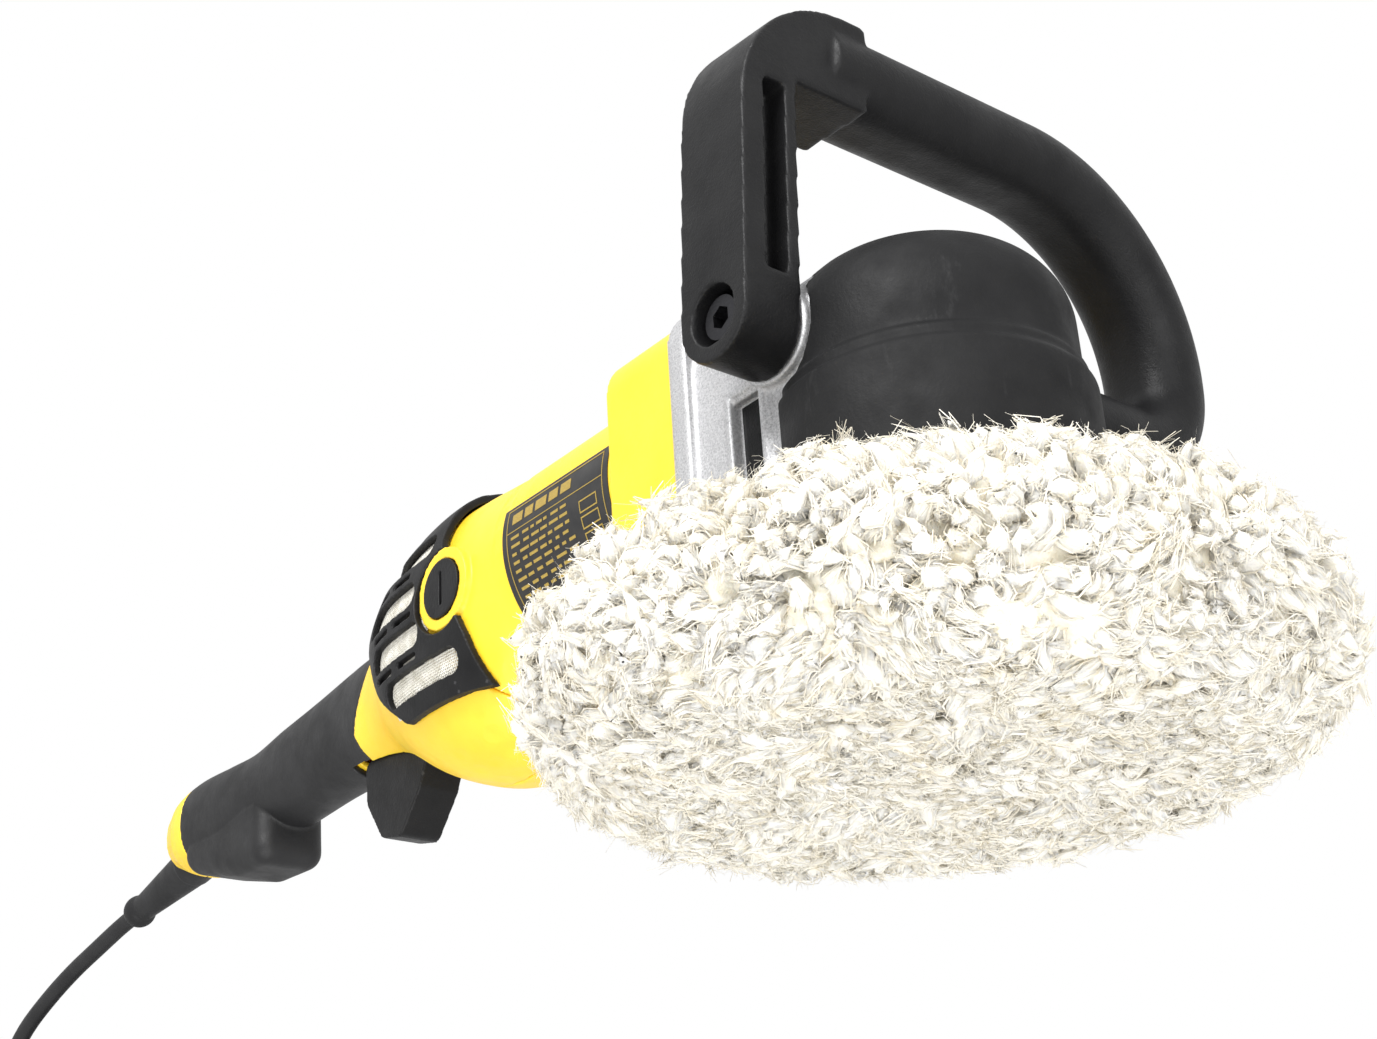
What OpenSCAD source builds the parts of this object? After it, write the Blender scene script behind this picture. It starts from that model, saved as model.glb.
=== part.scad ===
// Right-angle rotary polisher with a bail handle, a deep wool pad and a mains lead.
// Millimetres. Origin on the spindle axis at the pad's working face, +Z up, nose towards -Y.

/* [Overall] */
// Height of the motor axis above the pad's working face
axis_h = 120; // [116:1:132]
// Distance from the spindle axis back to the front of the motor housing
flange_y = 52; // [52:1:64]
// Radius of the motor barrel
barrel_r = 37.5; // [36:0.5:40]
// Wall of the motor barrel
barrel_wall = 4; // [3:0.5:5]
// Length of the motor barrel from its front face to the brush axis
brush_reach = 126; // [124:1:136]
// Length of the rear grip from the brush axis to the tail
grip_reach = 256; // [246:1:280]

/* [Pad] */
// Outer radius of the wool pad
pad_r = 110; // [95:1:120]
// Depth of the wool pad
pad_h = 60; // [50:1:61]
// Radius of the rim's rounding
pad_round = 24; // [15:1:24]
// Radius of the well around the hub
well_r = 52; // [45:1:60]
// Radius of the backing pad
backing_r = 84; // [70:1:90]

/* [Gears] */
// Module of the motor pinion and the countershaft gear
spur_m = 1; // [1:0.05:1.05]
// Teeth on the motor pinion
pinion_teeth = 12; // [12:1:13]
// Teeth on the countershaft gear
gear_teeth = 36; // [34:1:37]
// Teeth on the bevel pinion
bevel_teeth = 13; // [13]
// Teeth on the bevel ring gear
ring_teeth = 39; // [39]
// Bevel module at the outer end of the teeth
bevel_m = 1.5; // [1.45:0.05:1.55]
// Share of the pitch that a tooth fills
tooth_fill = 0.41; // [0.38:0.01:0.43]

/* [Shafts and bearings] */
// Radius of the spindle
spindle_r = 8; // [7:0.5:9]
// Radius of the countershaft
counter_r = 5; // [4.5:0.5:5.5]
// Radius of the armature shaft
armature_r = 4; // [3.5:0.25:4.5]
// Radial running clearance of a shaft in its bearing
run_gap = 0.05; // [0.02:0.01:0.1]
// Radial wall of a bearing
bearing_wall = 6.5; // [5.5:0.5:7]

/* [Gear case] */
// Radius of the gear case under its cover
case_r = 39; // [38:0.5:41]
// Wall of the gear case
case_wall = 4; // [3:0.5:5]
// Height of the gear case roof above the pad's working face
case_top = 147; // [145:1:152]
// Height of the gear case floor above the pad's working face
case_floor = 70; // [68:1:71]
// Distance of the nose centre in front of the spindle axis
nose_offset = 12; // [9:1:12]
// Thickness of the rubber cover
cover_t = 3.4; // [2.5:0.1:3.5]
// Extra thickness of the cover's skirt
skirt_t = 3.4; // [2:0.1:5]
// Height of the cover's lower edge
cover_foot = 76; // [74:1:80]

/* [Bail handle] */
// Height of the bail screws above the motor axis
bail_rise = 7.3; // [6:0.1:9]
// Distance of the bail screws behind the spindle axis
bail_y = 5.7; // [4:0.1:8]
// Forward lean of the bail at rest, in degrees
bail_lean = 5; // [0:1:10]
// Thickness of a bail leg
leg_t = 20; // [18:0.5:23]
// Width of a bail leg
leg_w = 28; // [26:0.5:30]
// Height of the grip's centre line over the screws
grip_rise = 90; // [85:1:105]
// Radius of the loop's curve on its round side
sweep_r = 65; // [60:1:66]
// Straight length of the grip from the middle of the tool to the curve
grip_half = 57; // [50:1:70]
// Half thickness of the grip
grip_r = 13; // [12:0.5:14]
// Extra depth of the grip's section
grip_extra = 7; // [4:0.5:9]
// Radius of the outer corner over the straight leg
corner_r = 40; // [30:1:40]
// Radius of the screw counterbore
cbore_r = 8.9; // [8.5:0.1:9.5]
// Radius of the bail screws
bail_screw_r = 4; // [3:0.5:4]

/* [Controls] */
// Width of the trigger
trigger_w = 16; // [12:0.5:16]
// Radius of the lock-on button
lock_on_r = 5; // [4:0.25:5.5]
// Radius of the speed dial
dial_r = 11; // [10:0.5:11.5]
// Width of the speed dial
dial_w = 7; // [5:0.5:8]
// Radius of the spindle lock's pin
lock_pin_r = 2.6; // [2:0.1:2.8]
// Radius of the spindle lock's button
lock_cap_r = 8; // [6:0.5:8.5]

/* [Shell] */
// Wall of the rear housing
shell_t = 5; // [4.5:0.25:6]
// Thickness of the soft grip
soft_t = 2.5; // [2:0.25:3]
// Thickness of an intake shield
shield_t = 2.6; // [2:0.1:3]
// Radius of a brush cap
cap_r = 10.2; // [9:0.2:11]

/* [Lead] */
// Diameter of the mains lead
lead_d = 7.5; // [7.5]

/* [Hidden] */
$fn = 48;

// Colours
yellow = [0.99, 0.83, 0.13];
black = [0.12, 0.12, 0.13];
rubber = [0.17, 0.17, 0.18];
cast = [0.74, 0.74, 0.75];
steel = [0.62, 0.63, 0.66];
copper = [0.72, 0.42, 0.2];
wool = [0.95, 0.93, 0.87];

// Small gaps
fit = 0.1;      // between two parts of one body
seam = 0.15;    // half of a visible parting line
clear = 0.4;    // between two bodies

// Gear train
counter_z = axis_h - spur_m * (pinion_teeth + gear_teeth) / 2;
ring_cone = atan(ring_teeth / bevel_teeth);
cone_len = bevel_m * ring_teeth / 2 / sin(ring_cone);
tip_angle = atan(bevel_m / cone_len);
root_angle = 1.25 * tip_angle;
ring_back = 12.6 * bevel_m / 1.5;
ring_front = 5.5 * bevel_m / 1.5;
ring_r = ring_back * tan(ring_cone - root_angle);
pinion_out = bevel_m * ring_teeth / 2;
pinion_in = 23.5 * bevel_m / 1.5;
blank_t = 7;
lock_y = 22;
lock_holes = 8;
lock_travel = 6;
lock_gap = 2;

// Bearings
spindle_out = spindle_r + bearing_wall + 3;
top_seat_r = spindle_r - 2;
top_out = top_seat_r + bearing_wall;
counter_out = counter_r + bearing_wall;
counter_rear_r = counter_r - 1;
counter_rear_out = counter_rear_r + bearing_wall - 2;
armature_out = armature_r + bearing_wall;
armature_rear_r = armature_r - 0.5;
armature_rear_out = armature_rear_r + bearing_wall;
floor_bearing_z = case_floor - 4;
floor_bearing_h = 10;
top_bearing_z = counter_z + ring_back + blank_t + 4;
top_bearing_h = 9;

// Gear case
plate_y = flange_y + 1;
plate_t = 9;
tunnel_w = 2 * case_r + 1;
chamber_w = 2 * ring_r + 0.6;
chamber_end = ring_r + 0.5;
front_bearing_y = ring_r + 0.4;
bail_z = axis_h + bail_rise;
boss_r = leg_w / 2 + 0.5;
leg_in = case_r + cover_t + 0.8;
boss_x = leg_in - clear;
ear_half = 40;

// Motor and rear housing
brush_y = flange_y + brush_reach;
tail_y = brush_y + grip_reach;
split_y = brush_y + 12;
flare_y = tail_y - 62;
mid_y = brush_y + 87;
ear_end = flange_y + 33;
brush_z = axis_h - 4;
lobe_r = cap_r + 4.2;
lobe_x = barrel_r + 3.1;
bore_r = barrel_r - barrel_wall;
fan_r = bore_r - 4.5;
coil_x = bore_r - 9.5;
core_in = coil_x - 2;
fan_y = flange_y + 15;
core_y = flange_y + 32;
core_l = 60;

// Rear housing sections: distance back, top, bottom, half width, squareness
SECTIONS = [
    [brush_y - 33, axis_h + barrel_r - 0.4, axis_h - barrel_r + 0.4, barrel_r - 0.4, 2],
    [brush_y - 18, axis_h + barrel_r + 0.5, axis_h - 50, barrel_r + 0.7, 2.1],
    [brush_y - 3, axis_h + barrel_r + 0.5, axis_h - 58, barrel_r + 1.2, 2.3],
    [brush_y + 12, axis_h + barrel_r, axis_h - 60, barrel_r + 1.2, 2.4],
    [brush_y + 27, axis_h + 35, axis_h - 58, barrel_r + 0.5, 2.4],
    [brush_y + 42, axis_h + 30, axis_h - 52, 36, 2.4],
    [brush_y + 57, axis_h + 23, axis_h - 43, 31, 2.4],
    [brush_y + 72, axis_h + 17, axis_h - 35, 24, 2.3],
    [mid_y, axis_h + 14, axis_h - 32, 19.5, 2.3],
    [mid_y + 20, axis_h + 13, axis_h - 31, 17, 2.3],
    [mid_y + 50, axis_h + 10, axis_h - 31, 16, 2.2],
    [flare_y - 30, axis_h + 7, axis_h - 32, 16, 2.2],
    [flare_y - 8, axis_h + 3.5, axis_h - 33, 16.5, 2.2],
    [flare_y + 12, axis_h + 3.5, axis_h - 36, 18, 2.3],
    [tail_y - 28, axis_h + 4, axis_h - 35, 18.5, 2.4],
    [tail_y - 12, axis_h + 2, axis_h - 34, 18, 2.4],
    [tail_y, axis_h - 2, axis_h - 30, 14.5, 2.4]
];

// Outline of the joint between the motor housing and the rear housing, seen from the side
FRONT_AREA = [
    [flange_y, 200], [split_y, 200], [split_y, axis_h - 20], [split_y - 10, axis_h - 30],
    [brush_y - 28, axis_h - 54], [brush_y - 32, 0], [flange_y, 0]
];
// Outline of the soft grip, seen from the side
SOFT_AREA = [
    [mid_y - 15, 200], [mid_y - 15, axis_h + 18], [mid_y - 3, axis_h], [mid_y + 12, axis_h - 20],
    [mid_y + 10, axis_h - 30], [mid_y + 19, axis_h - 40], [mid_y + 19, 0], [tail_y - 22, 0],
    [tail_y - 19, 200]
];
// Outline of an intake shield, seen from the side
SHIELD_AREA = [
    [brush_y + 8, 200], [brush_y + 3, axis_h + 16], [brush_y - 12, axis_h - 24],
    [brush_y - 15, axis_h - 41], [brush_y + 30, axis_h - 41], [brush_y + 46, axis_h - 28],
    [brush_y + 59, axis_h - 5], [brush_y + 68, axis_h + 20], [brush_y + 68, 200]
];

// Controls
trigger_y = brush_y + 66;
trigger_z = axis_h - 27;
trigger_pin_r = 2;
pin_half = 20.5;
trigger_end = brush_y + 106;
lock_on_y = brush_y + 98;
dial_y = flare_y - 12;
dial_z = axis_h - 4.5;
dial_axle_r = 2;

// Lead: it leaves the strain relief and drops to the surface the tool stands on
relief_len = 60;
relief_tilt = 8.3;
relief_start = [0, tail_y, axis_h - 24.5];
lead_r = lead_d / 2;
CORD_ROUTE = [
    [0, 493, 87], [0, 508, 85], [0, 530, 81], [0, 556, 76], [0, 582, 69], [0, 606, 60],
    [2, 628, 49], [5, 648, 36], [10, 666, 22], [18, 682, 11], [30, 696, 5], [46, 705, 3.75],
    [64, 707, 3.75], [82, 701, 3.75], [97, 689, 3.75], [107, 671, 3.75], [111, 650, 3.75],
    [111, 640, 3.75]
];
COIL_CENTRE = [62, 640];
COIL_COLUMNS = 4;
COIL_LAYERS = 4;
coil_in = 22.5;
LEAD_ROUTE = [
    [104, 636, 34], [110, 626, 33], [116, 612, 29], [121, 598, 22], [124, 585, 17], [126, 572, 15]
];
plug_r = 15;
PLUG_AT = [126, 572, 15];

// ---------- helpers ----------

// Value of column c of the section table at distance y, on a smooth curve
function seg(y, i = 0) = i >= len(SECTIONS) - 2 || y < SECTIONS[i + 1][0] ? i : seg(y, i + 1);
function cubic(a, b, c, d, t) =
    b + 0.5 * t * (c - a + t * (2 * a - 5 * b + 4 * c - d + t * (3 * (b - c) + d - a)));
function section(y, c) =
    let (i = seg(y), n = len(SECTIONS) - 1,
         t = (y - SECTIONS[i][0]) / (SECTIONS[i + 1][0] - SECTIONS[i][0]))
    cubic(SECTIONS[max(i - 1, 0)][c], SECTIONS[i][c], SECTIONS[i + 1][c],
          SECTIONS[min(i + 2, n)][c], t);
function power(v, p) = sign(v) * pow(abs(v), p);
function ring_points(y, off, sides) =
    let (top = section(y, 1) + off, low = section(y, 2) - off,
         w = section(y, 3) + off, p = 2 / section(y, 4))
    [for (k = [0:sides - 1]) let (a = 360 * k / sides)
        [w * power(cos(a), p), y, (top + low) / 2 + (top - low) / 2 * power(sin(a), p)]];

// Rings of the rear housing's form, evenly spaced from the barrel to the tail
RINGS = 32;
SIDES = 28;
function ring_y(j) = brush_y - 33 + (tail_y - brush_y + 33) * j / RINGS;

// Triangles between two rings of points, and the fan that closes an end
function band(j, n) = [for (k = [0:n - 1])
    let (a = j * n + k, b = j * n + (k + 1) % n) each [[a, a + n, b + n], [a, b + n, b]]];
function fan(first, n, up) = [for (k = [1:n - 2])
    up ? [first, first + k + 1, first + k] : [first, first + k, first + k + 1]];

// Solid of the rear housing's form between two rings, grown by off
module rear_form(off, j0 = 0, j1 = RINGS) {
    points = [for (j = [j0:j1]) each ring_points(ring_y(j), off, SIDES)];
    skin = [for (j = [0:j1 - j0 - 1], f = band(j, SIDES)) [f[2], f[1], f[0]]];
    polyhedron(points, concat(skin, fan(0, SIDES, true), fan((j1 - j0) * SIDES, SIDES, false)));
}

// Plate in the side view, from x0 to x1
module side_plate(points, x0, x1) {
    translate([x0, 0, 0]) rotate([90, 0, 90]) linear_extrude(x1 - x0) polygon(points);
}

module side_half(left) {
    translate([left ? seam : -100 - seam, 0, 0]) cube([100, 600, 300]);
}

// Cylinder along Y
module y_rod(r, y0, y1, x = 0, z = 0) {
    translate([x, y0, z]) rotate([-90, 0, 0]) cylinder(r = r, h = y1 - y0);
}

// Cylinder along X
module x_rod(r, x0, x1, y = 0, z = 0) {
    translate([x0, y, z]) rotate([0, 90, 0]) cylinder(r = r, h = x1 - x0);
}

// Rectangle with rounded corners, centred
module round_rect(w, h, r) {
    square([w - 2 * r, h], center = true);
    square([w, h - 2 * r], center = true);
    for (sx = [-1, 1], sy = [-1, 1])
        translate([sx * (w / 2 - r), sy * (h / 2 - r)]) circle(r);
}

// Block along Y with a rounded rectangular section
module y_block(w, z0, z1, r, y0, y1) {
    translate([0, y1, (z0 + z1) / 2]) rotate([90, 0, 0]) linear_extrude(y1 - y0)
        round_rect(w, z1 - z0, r);
}

// Ball bearing: two rings and a shielded cage in one unit, along Z from the base
module bearing(bore_r, out_r, h) {
    difference() {
        cylinder(r = out_r, h = h);
        translate([0, 0, -1]) cylinder(r = bore_r + run_gap, h = h + 2);
        for (z = [-1, h - 0.8]) translate([0, 0, z]) difference() {
            cylinder(r = out_r - 2, h = 1.8);
            cylinder(r = bore_r + 2, h = 1.8);
        }
    }
}

module y_bearing(bore_r, out_r, h, y, z) {
    translate([0, y, z]) rotate([-90, 0, 0]) bearing(bore_r, out_r, h);
}

// Gear outline: root, pitch and tip radii
module gear_outline(teeth, root, pitch, tip) {
    p = 360 / teeth;
    w = p * tooth_fill / 2;
    polygon([for (i = [0:teeth - 1]) each [
        [root * cos(i * p - 1.4 * w), root * sin(i * p - 1.4 * w)],
        [pitch * cos(i * p - w), pitch * sin(i * p - w)],
        [tip * cos(i * p - 0.5 * w), tip * sin(i * p - 0.5 * w)],
        [tip * cos(i * p + 0.5 * w), tip * sin(i * p + 0.5 * w)],
        [pitch * cos(i * p + w), pitch * sin(i * p + w)],
        [root * cos(i * p + 1.4 * w), root * sin(i * p + 1.4 * w)]
    ]]);
}

module spur_outline(teeth) {
    pitch = spur_m * teeth / 2;
    gear_outline(teeth, pitch - 1.25 * spur_m, pitch, pitch + 0.9 * spur_m);
}

// Conical teeth with the apex at the origin, between two heights, on a pitch cone
module bevel_teeth_form(teeth, cone, low, high) {
    translate([0, 0, high]) mirror([0, 0, 1])
        linear_extrude(high - low, scale = low / high)
            gear_outline(teeth, high * tan(cone - root_angle), high * tan(cone),
                         high * tan(cone + tip_angle));
}

// Socket screw along Z: head up, shank down from the origin
module socket_screw(r, len, head_r, head_h) {
    translate([0, 0, -len]) cylinder(r = r, h = len + 0.01);
    difference() {
        cylinder(r = head_r, h = head_h);
        translate([0, 0, head_h * 0.4]) cylinder(r = head_r * 0.55, h = head_h, $fn = 6);
    }
}

// Tube swept along a route
function unit(v) = v / norm(v);
function route_dir(pts, i) = unit(pts[min(i + 1, len(pts) - 1)] - pts[max(i - 1, 0)]);
function route_side(pts, i) = unit(cross(route_dir(pts, i), [0.02, 0.01, 1]));
module route_tube(pts, r, sides) {
    rings = [for (i = [0:len(pts) - 1])
        let (d = route_dir(pts, i), s = route_side(pts, i), u = cross(s, d))
        for (k = [0:sides - 1]) let (a = 360 * (k + 0.5) / sides)
            pts[i] + r * cos(a) * s + r * sin(a) * u];
    n = len(pts) - 1;
    skin = [for (i = [0:n - 1], k = [0:sides - 1])
        let (a = i * sides + k, b = i * sides + (k + 1) % sides) each
            [[a, b, b + sides], [a, b + sides, a + sides]]];
    polyhedron(rings, concat(skin, fan(0, sides, true), fan(n * sides, sides, false)));
}

// ---------- gear case ----------

nose_round = 20;
flange_t = 8;
flange_half = 42;
vent_y0 = 15;
vent_y1 = 27;
vent_z0 = 88;
vent_z1 = 116;
vent_depth = 5;

// Upright drum with a rounded top edge
module drum(r, z0, z1, round) {
    translate([0, -nose_offset, 0]) rotate_extrude() {
        translate([0, z0]) square([r, z1 - z0 - round]);
        translate([0, z0]) square([r - round, z1 - z0]);
        intersection() {
            translate([r - round, z1 - round]) circle(round);
            translate([0, z0]) square([r, z1 - z0]);
        }
    }
}

// Case screws: beside the flange's rounded corners
CASE_SCREWS = [for (sx = [-1, 1], sz = [-1, 1]) [sx * 31.5, axis_h + sz * 31.5]];

module gear_case_outside() {
    drum(case_r, case_floor, case_top, nose_round);
    y_block(tunnel_w, case_floor, case_top, 14, -nose_offset, flange_y - flange_t);
    y_block(2 * flange_half, axis_h - 42, axis_h + 41, 16, flange_y - flange_t, flange_y);
    for (s = [-1, 1]) mirror([s < 0 ? 1 : 0, 0, 0]) {
        x_rod(boss_r, 0, boss_x, bail_y, bail_z);
        // ribs framing the side vent
        for (y = [vent_y0 - 2.5, vent_y1])
            translate([case_r - 4, y, vent_z0 - 4]) cube([6, 2.5, vent_z1 - vent_z0 + 8]);
        for (z = [vent_z0 - 4, vent_z1 + 1.5])
            translate([case_r - 4, vent_y0 - 2.5, z]) cube([6, vent_y1 - vent_y0 + 5, 2.5]);
    }
    cylinder(r = spindle_out + 6, h = case_floor + 6);
}

module gear_case() {
    roof_z = case_top - case_wall - 2;
    color(cast) difference() {
        intersection() {
            gear_case_outside();
            translate([-60, -60, case_floor]) cube([120, 60 + flange_y, 120]);
        }
        // chamber for the ring gear and the countershaft gear
        intersection() {
            drum(case_r - case_wall, case_floor + case_wall, roof_z, nose_round - case_wall);
            translate([-50, -60, 0]) cube([100, 100, top_bearing_z - 1]);
        }
        y_block(chamber_w, case_floor + case_wall, top_bearing_z - 1, 2, -5, chamber_end);
        y_block(chamber_w - 10, case_floor + case_wall, axis_h + 14, 10, 39.5, flange_y + 1);
        // spindle bearings and seal
        translate([0, 0, floor_bearing_z]) cylinder(r = spindle_out + fit, h = floor_bearing_h);
        translate([0, 0, floor_bearing_z]) cylinder(r = spindle_r + 2, h = 20);
        translate([0, 0, top_bearing_z]) cylinder(r = top_out + fit, h = top_bearing_h);
        translate([0, 0, top_bearing_z - 2]) cylinder(r = top_seat_r + 2, h = 5);
        // countershaft bearing
        y_rod(counter_out + fit, chamber_end - 1, chamber_end + 9, 0, counter_z);
        y_rod(counter_r + 2, chamber_end - 2, chamber_end + 10, 0, counter_z);
        // spindle lock
        translate([0, lock_y, 0]) cylinder(r = lock_pin_r + 0.08, h = 200);
        translate([0, lock_y, case_top - 6]) cylinder(r = lock_cap_r + 0.3, h = 20);
        // bail screws
        for (s = [-1, 1]) mirror([s < 0 ? 1 : 0, 0, 0])
            x_rod(bail_screw_r + 0.02, boss_x - 12, boss_x + 1, bail_y, bail_z);
        // side vents
        for (s = [-1, 1]) mirror([s < 0 ? 1 : 0, 0, 0])
            translate([case_r + 2 - vent_depth, vent_y0, vent_z0])
                cube([10, vent_y1 - vent_y0, vent_z1 - vent_z0]);
        // screws
        for (p = CASE_SCREWS) {
            y_rod(2.52, flange_y - flange_t - 1, flange_y + 1, p[0], p[1]);
            y_rod(4.7, flange_y - flange_t - 20, flange_y - flange_t + 3, p[0], p[1]);
        }
        for (a = [45:90:315]) rotate([0, 0, a])
            translate([spindle_out + 5, 0, case_floor - 1]) cylinder(r = 1.52, h = 7);
    }
}

module gear_case_cover() {
    r = case_r + cover_t;
    top = case_top + cover_t;
    color(rubber) difference() {
        intersection() {
            union() {
                drum(r, cover_foot, top, nose_round + cover_t);
                // skirt with two shallow steps
                drum(r + skirt_t, cover_foot, bail_z - boss_r - 5, 3);
                drum(r + skirt_t / 2, cover_foot, bail_z - boss_r - 1, 2);
            }
            translate([-60, -80, 0]) cube([120, 80 + bail_y, 200]);
        }
        drum(case_r + fit, cover_foot - 1, case_top + fit, nose_round);
        y_block(tunnel_w + 2 * fit, cover_foot - 10, case_top + fit, 14, -nose_offset, 40);
        for (s = [-1, 1]) mirror([s < 0 ? 1 : 0, 0, 0])
            x_rod(boss_r + 1.5, 20, 60, bail_y, bail_z);
    }
}

retainer_r = spindle_out + 10;
retainer_t = 4;
head_sink = 1.8;

module bearing_retainer() {
    color(black) difference() {
        union() {
            translate([0, 0, case_floor - retainer_t]) cylinder(r = retainer_r, h = retainer_t);
            translate([0, 0, case_floor - retainer_t - 2]) cylinder(r = spindle_out, h = 3);
        }
        translate([0, 0, case_floor - retainer_t]) cylinder(r = spindle_out + fit, h = 10);
        translate([0, 0, case_floor - 10]) cylinder(r = spindle_r + 4, h = 20);
        for (a = [45:90:315]) rotate([0, 0, a]) translate([spindle_out + 5, 0, 0]) {
            cylinder(r = 1.7, h = 100);
            cylinder(r = 3, h = case_floor - retainer_t + head_sink);
        }
    }
}

module retainer_screws() {
    color(steel) for (a = [45:90:315]) rotate([0, 0, a])
        translate([spindle_out + 5, 0, case_floor - retainer_t + head_sink])
            mirror([0, 0, 1]) socket_screw(1.5, 7, 2.8, 1.8);
}

module gear_case_screws() {
    color(steel) for (p = CASE_SCREWS)
        translate([p[0], flange_y - flange_t + 3, p[1]]) rotate([90, 0, 0])
            socket_screw(2.5, 24, 4.5, 4);
}

module spindle_seal() {
    z = case_floor - retainer_t - 2;
    color(rubber) translate([0, 0, z]) difference() {
        cylinder(r = spindle_r + 3.9, h = 2 - fit);
        translate([0, 0, -1]) cylinder(r = spindle_r + run_gap, h = 5);
    }
}

plate_r = max(barrel_r - 1.5, axis_h - counter_z + counter_rear_out + 1.5);

module bearing_plate() {
    r = plate_r;
    color(cast) difference() {
        y_rod(r, flange_y + fit, plate_y + plate_t - 1, 0, axis_h);
        y_rod(armature_out + fit, plate_y, plate_y + plate_t, 0, axis_h);
        y_rod(armature_r + 3.4, flange_y - 1, plate_y + 1, 0, axis_h);
        y_rod(counter_rear_out + fit, flange_y - 1, plate_y + 5, 0, counter_z);
    }
}

// ---------- motor housing ----------

module brush_lobes() {
    for (s = [-1, 1]) mirror([s < 0 ? 1 : 0, 0, 0])
        x_rod(lobe_r, barrel_r - 9, lobe_x, brush_y, brush_z);
}

module motor_housing_outside() {
    y_block(2 * ear_half, axis_h - ear_half + 1, axis_h + ear_half, 15, flange_y + seam,
            ear_end);
    y_rod(barrel_r, flange_y + 10, brush_y - 32, 0, axis_h);
    intersection() {
        rear_form(0, 0, 6);
        side_plate(FRONT_AREA, -60, 60);
    }
    brush_lobes();
}

module motor_housing() {
    color(yellow) difference() {
        motor_housing_outside();
        y_rod(bore_r, flange_y + 5, split_y + 40, 0, axis_h);
        y_rod(plate_r + fit, flange_y - 1, plate_y + plate_t - 0.9, 0, axis_h);
        // grooves behind the flange's ears
        for (p = CASE_SCREWS) y_rod(2.52, flange_y - 1, flange_y + 24, p[0], p[1]);
        // brush caps and holders
        for (s = [-1, 1]) mirror([s < 0 ? 1 : 0, 0, 0]) {
            x_rod(cap_r + fit, lobe_x - 3, lobe_x + 5, brush_y, brush_z);
            translate([10, brush_y - 6 - fit, brush_z - 7 - fit])
                cube([lobe_x - 12.6, 12 + 2 * fit, 14 + 2 * fit]);
        }
        // recess lines along the lower flank
        for (s = [-1, 1]) mirror([s < 0 ? 1 : 0, 0, 0])
            translate([barrel_r - 2.2, brush_y - 34, axis_h - 30]) rotate([0, 22, 0])
                cube([6, 22, 3]);
    }
}

module rating_label() {
    color(black) translate([0, brush_y - 32, axis_h]) rotate([90, 0, 0])
        rotate([0, 0, 180 - 18]) rotate_extrude(angle = 56, $fn = 64)
            translate([barrel_r + 0.02, 0]) square([0.35, 57]);
}

module brush_cap(s) {
    color(black) mirror([s < 0 ? 1 : 0, 0, 0]) difference() {
        x_rod(cap_r, lobe_x - 3 + fit, lobe_x + 0.8, brush_y, brush_z);
        translate([lobe_x - 1, brush_y - 0.9, brush_z - 6]) cube([4, 1.8, 12]);
    }
}
module brush_cap_right() { brush_cap(1); }
module brush_cap_left() { brush_cap(-1); }

commutator_r = 12;
module brush_holders() {
    color([0.75, 0.62, 0.3]) for (s = [-1, 1]) mirror([s < 0 ? 1 : 0, 0, 0]) difference() {
        translate([17, brush_y - 6, brush_z - 7]) cube([lobe_x - 20.2, 12, 14]);
        translate([16, brush_y - 4.6, brush_z - 5.6]) cube([lobe_x, 9.2, 11.2]);
    }
}

module carbon_brushes() {
    color([0.25, 0.25, 0.27]) for (s = [-1, 1]) mirror([s < 0 ? 1 : 0, 0, 0])
        translate([commutator_r + 1.6, brush_y - 4.5, brush_z - 5.5])
            cube([lobe_x - 9 - commutator_r - 1.6, 9, 11]);
}

module stator_core() {
    color([0.5, 0.5, 0.52]) difference() {
        y_rod(bore_r - fit, core_y, core_y + core_l, 0, axis_h);
        y_rod(core_in, core_y - 1, core_y + core_l + 1, 0, axis_h);
        for (s = [-1, 1]) translate([s * coil_x - 5, core_y - 1, axis_h - 14])
            cube([10, core_l + 2, 28]);
    }
}

module field_coils() {
    color(copper) for (s = [-1, 1]) translate([0, 0, axis_h]) difference() {
        translate([s * coil_x - 4.5, core_y - 6, -13]) cube([9, core_l + 12, 26]);
        y_rod(core_in + fit, core_y - 10, core_y + core_l + 10);
    }
}

// ---------- rear housing ----------

// Long windows and pairs of short slots of the intake shields, [first y, last y, z, height]
rib_pitch = 15.5;
WINDOWS = [for (i = [0:3]) [brush_y + [-7, 13, 16, 8][i], brush_y + [39, 49, 56, 60][i],
    axis_h - 30 + i * rib_pitch, 9]];
DASHES = [for (i = [0:3], j = [0:1]) [brush_y + 15 + i * 3 + j * 17,
    brush_y + 28 + i * 3 + j * 17, axis_h - 22.2 + i * rib_pitch, 2.2]];

module slots(list, grow, x0, x1) {
    for (w = list) hull_free_slot(w, grow, x0, x1);
}

// Slot with round ends through the side wall
module hull_free_slot(w, grow, x0, x1) {
    h = w[3] + 2 * grow;
    translate([x0, 0, w[2]]) rotate([90, 0, 90]) linear_extrude(x1 - x0)
        translate([(w[0] + w[1]) / 2, 0])
            round_rect(w[1] - w[0] + 2 * grow, h, h / 2 - 0.01);
}

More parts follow.
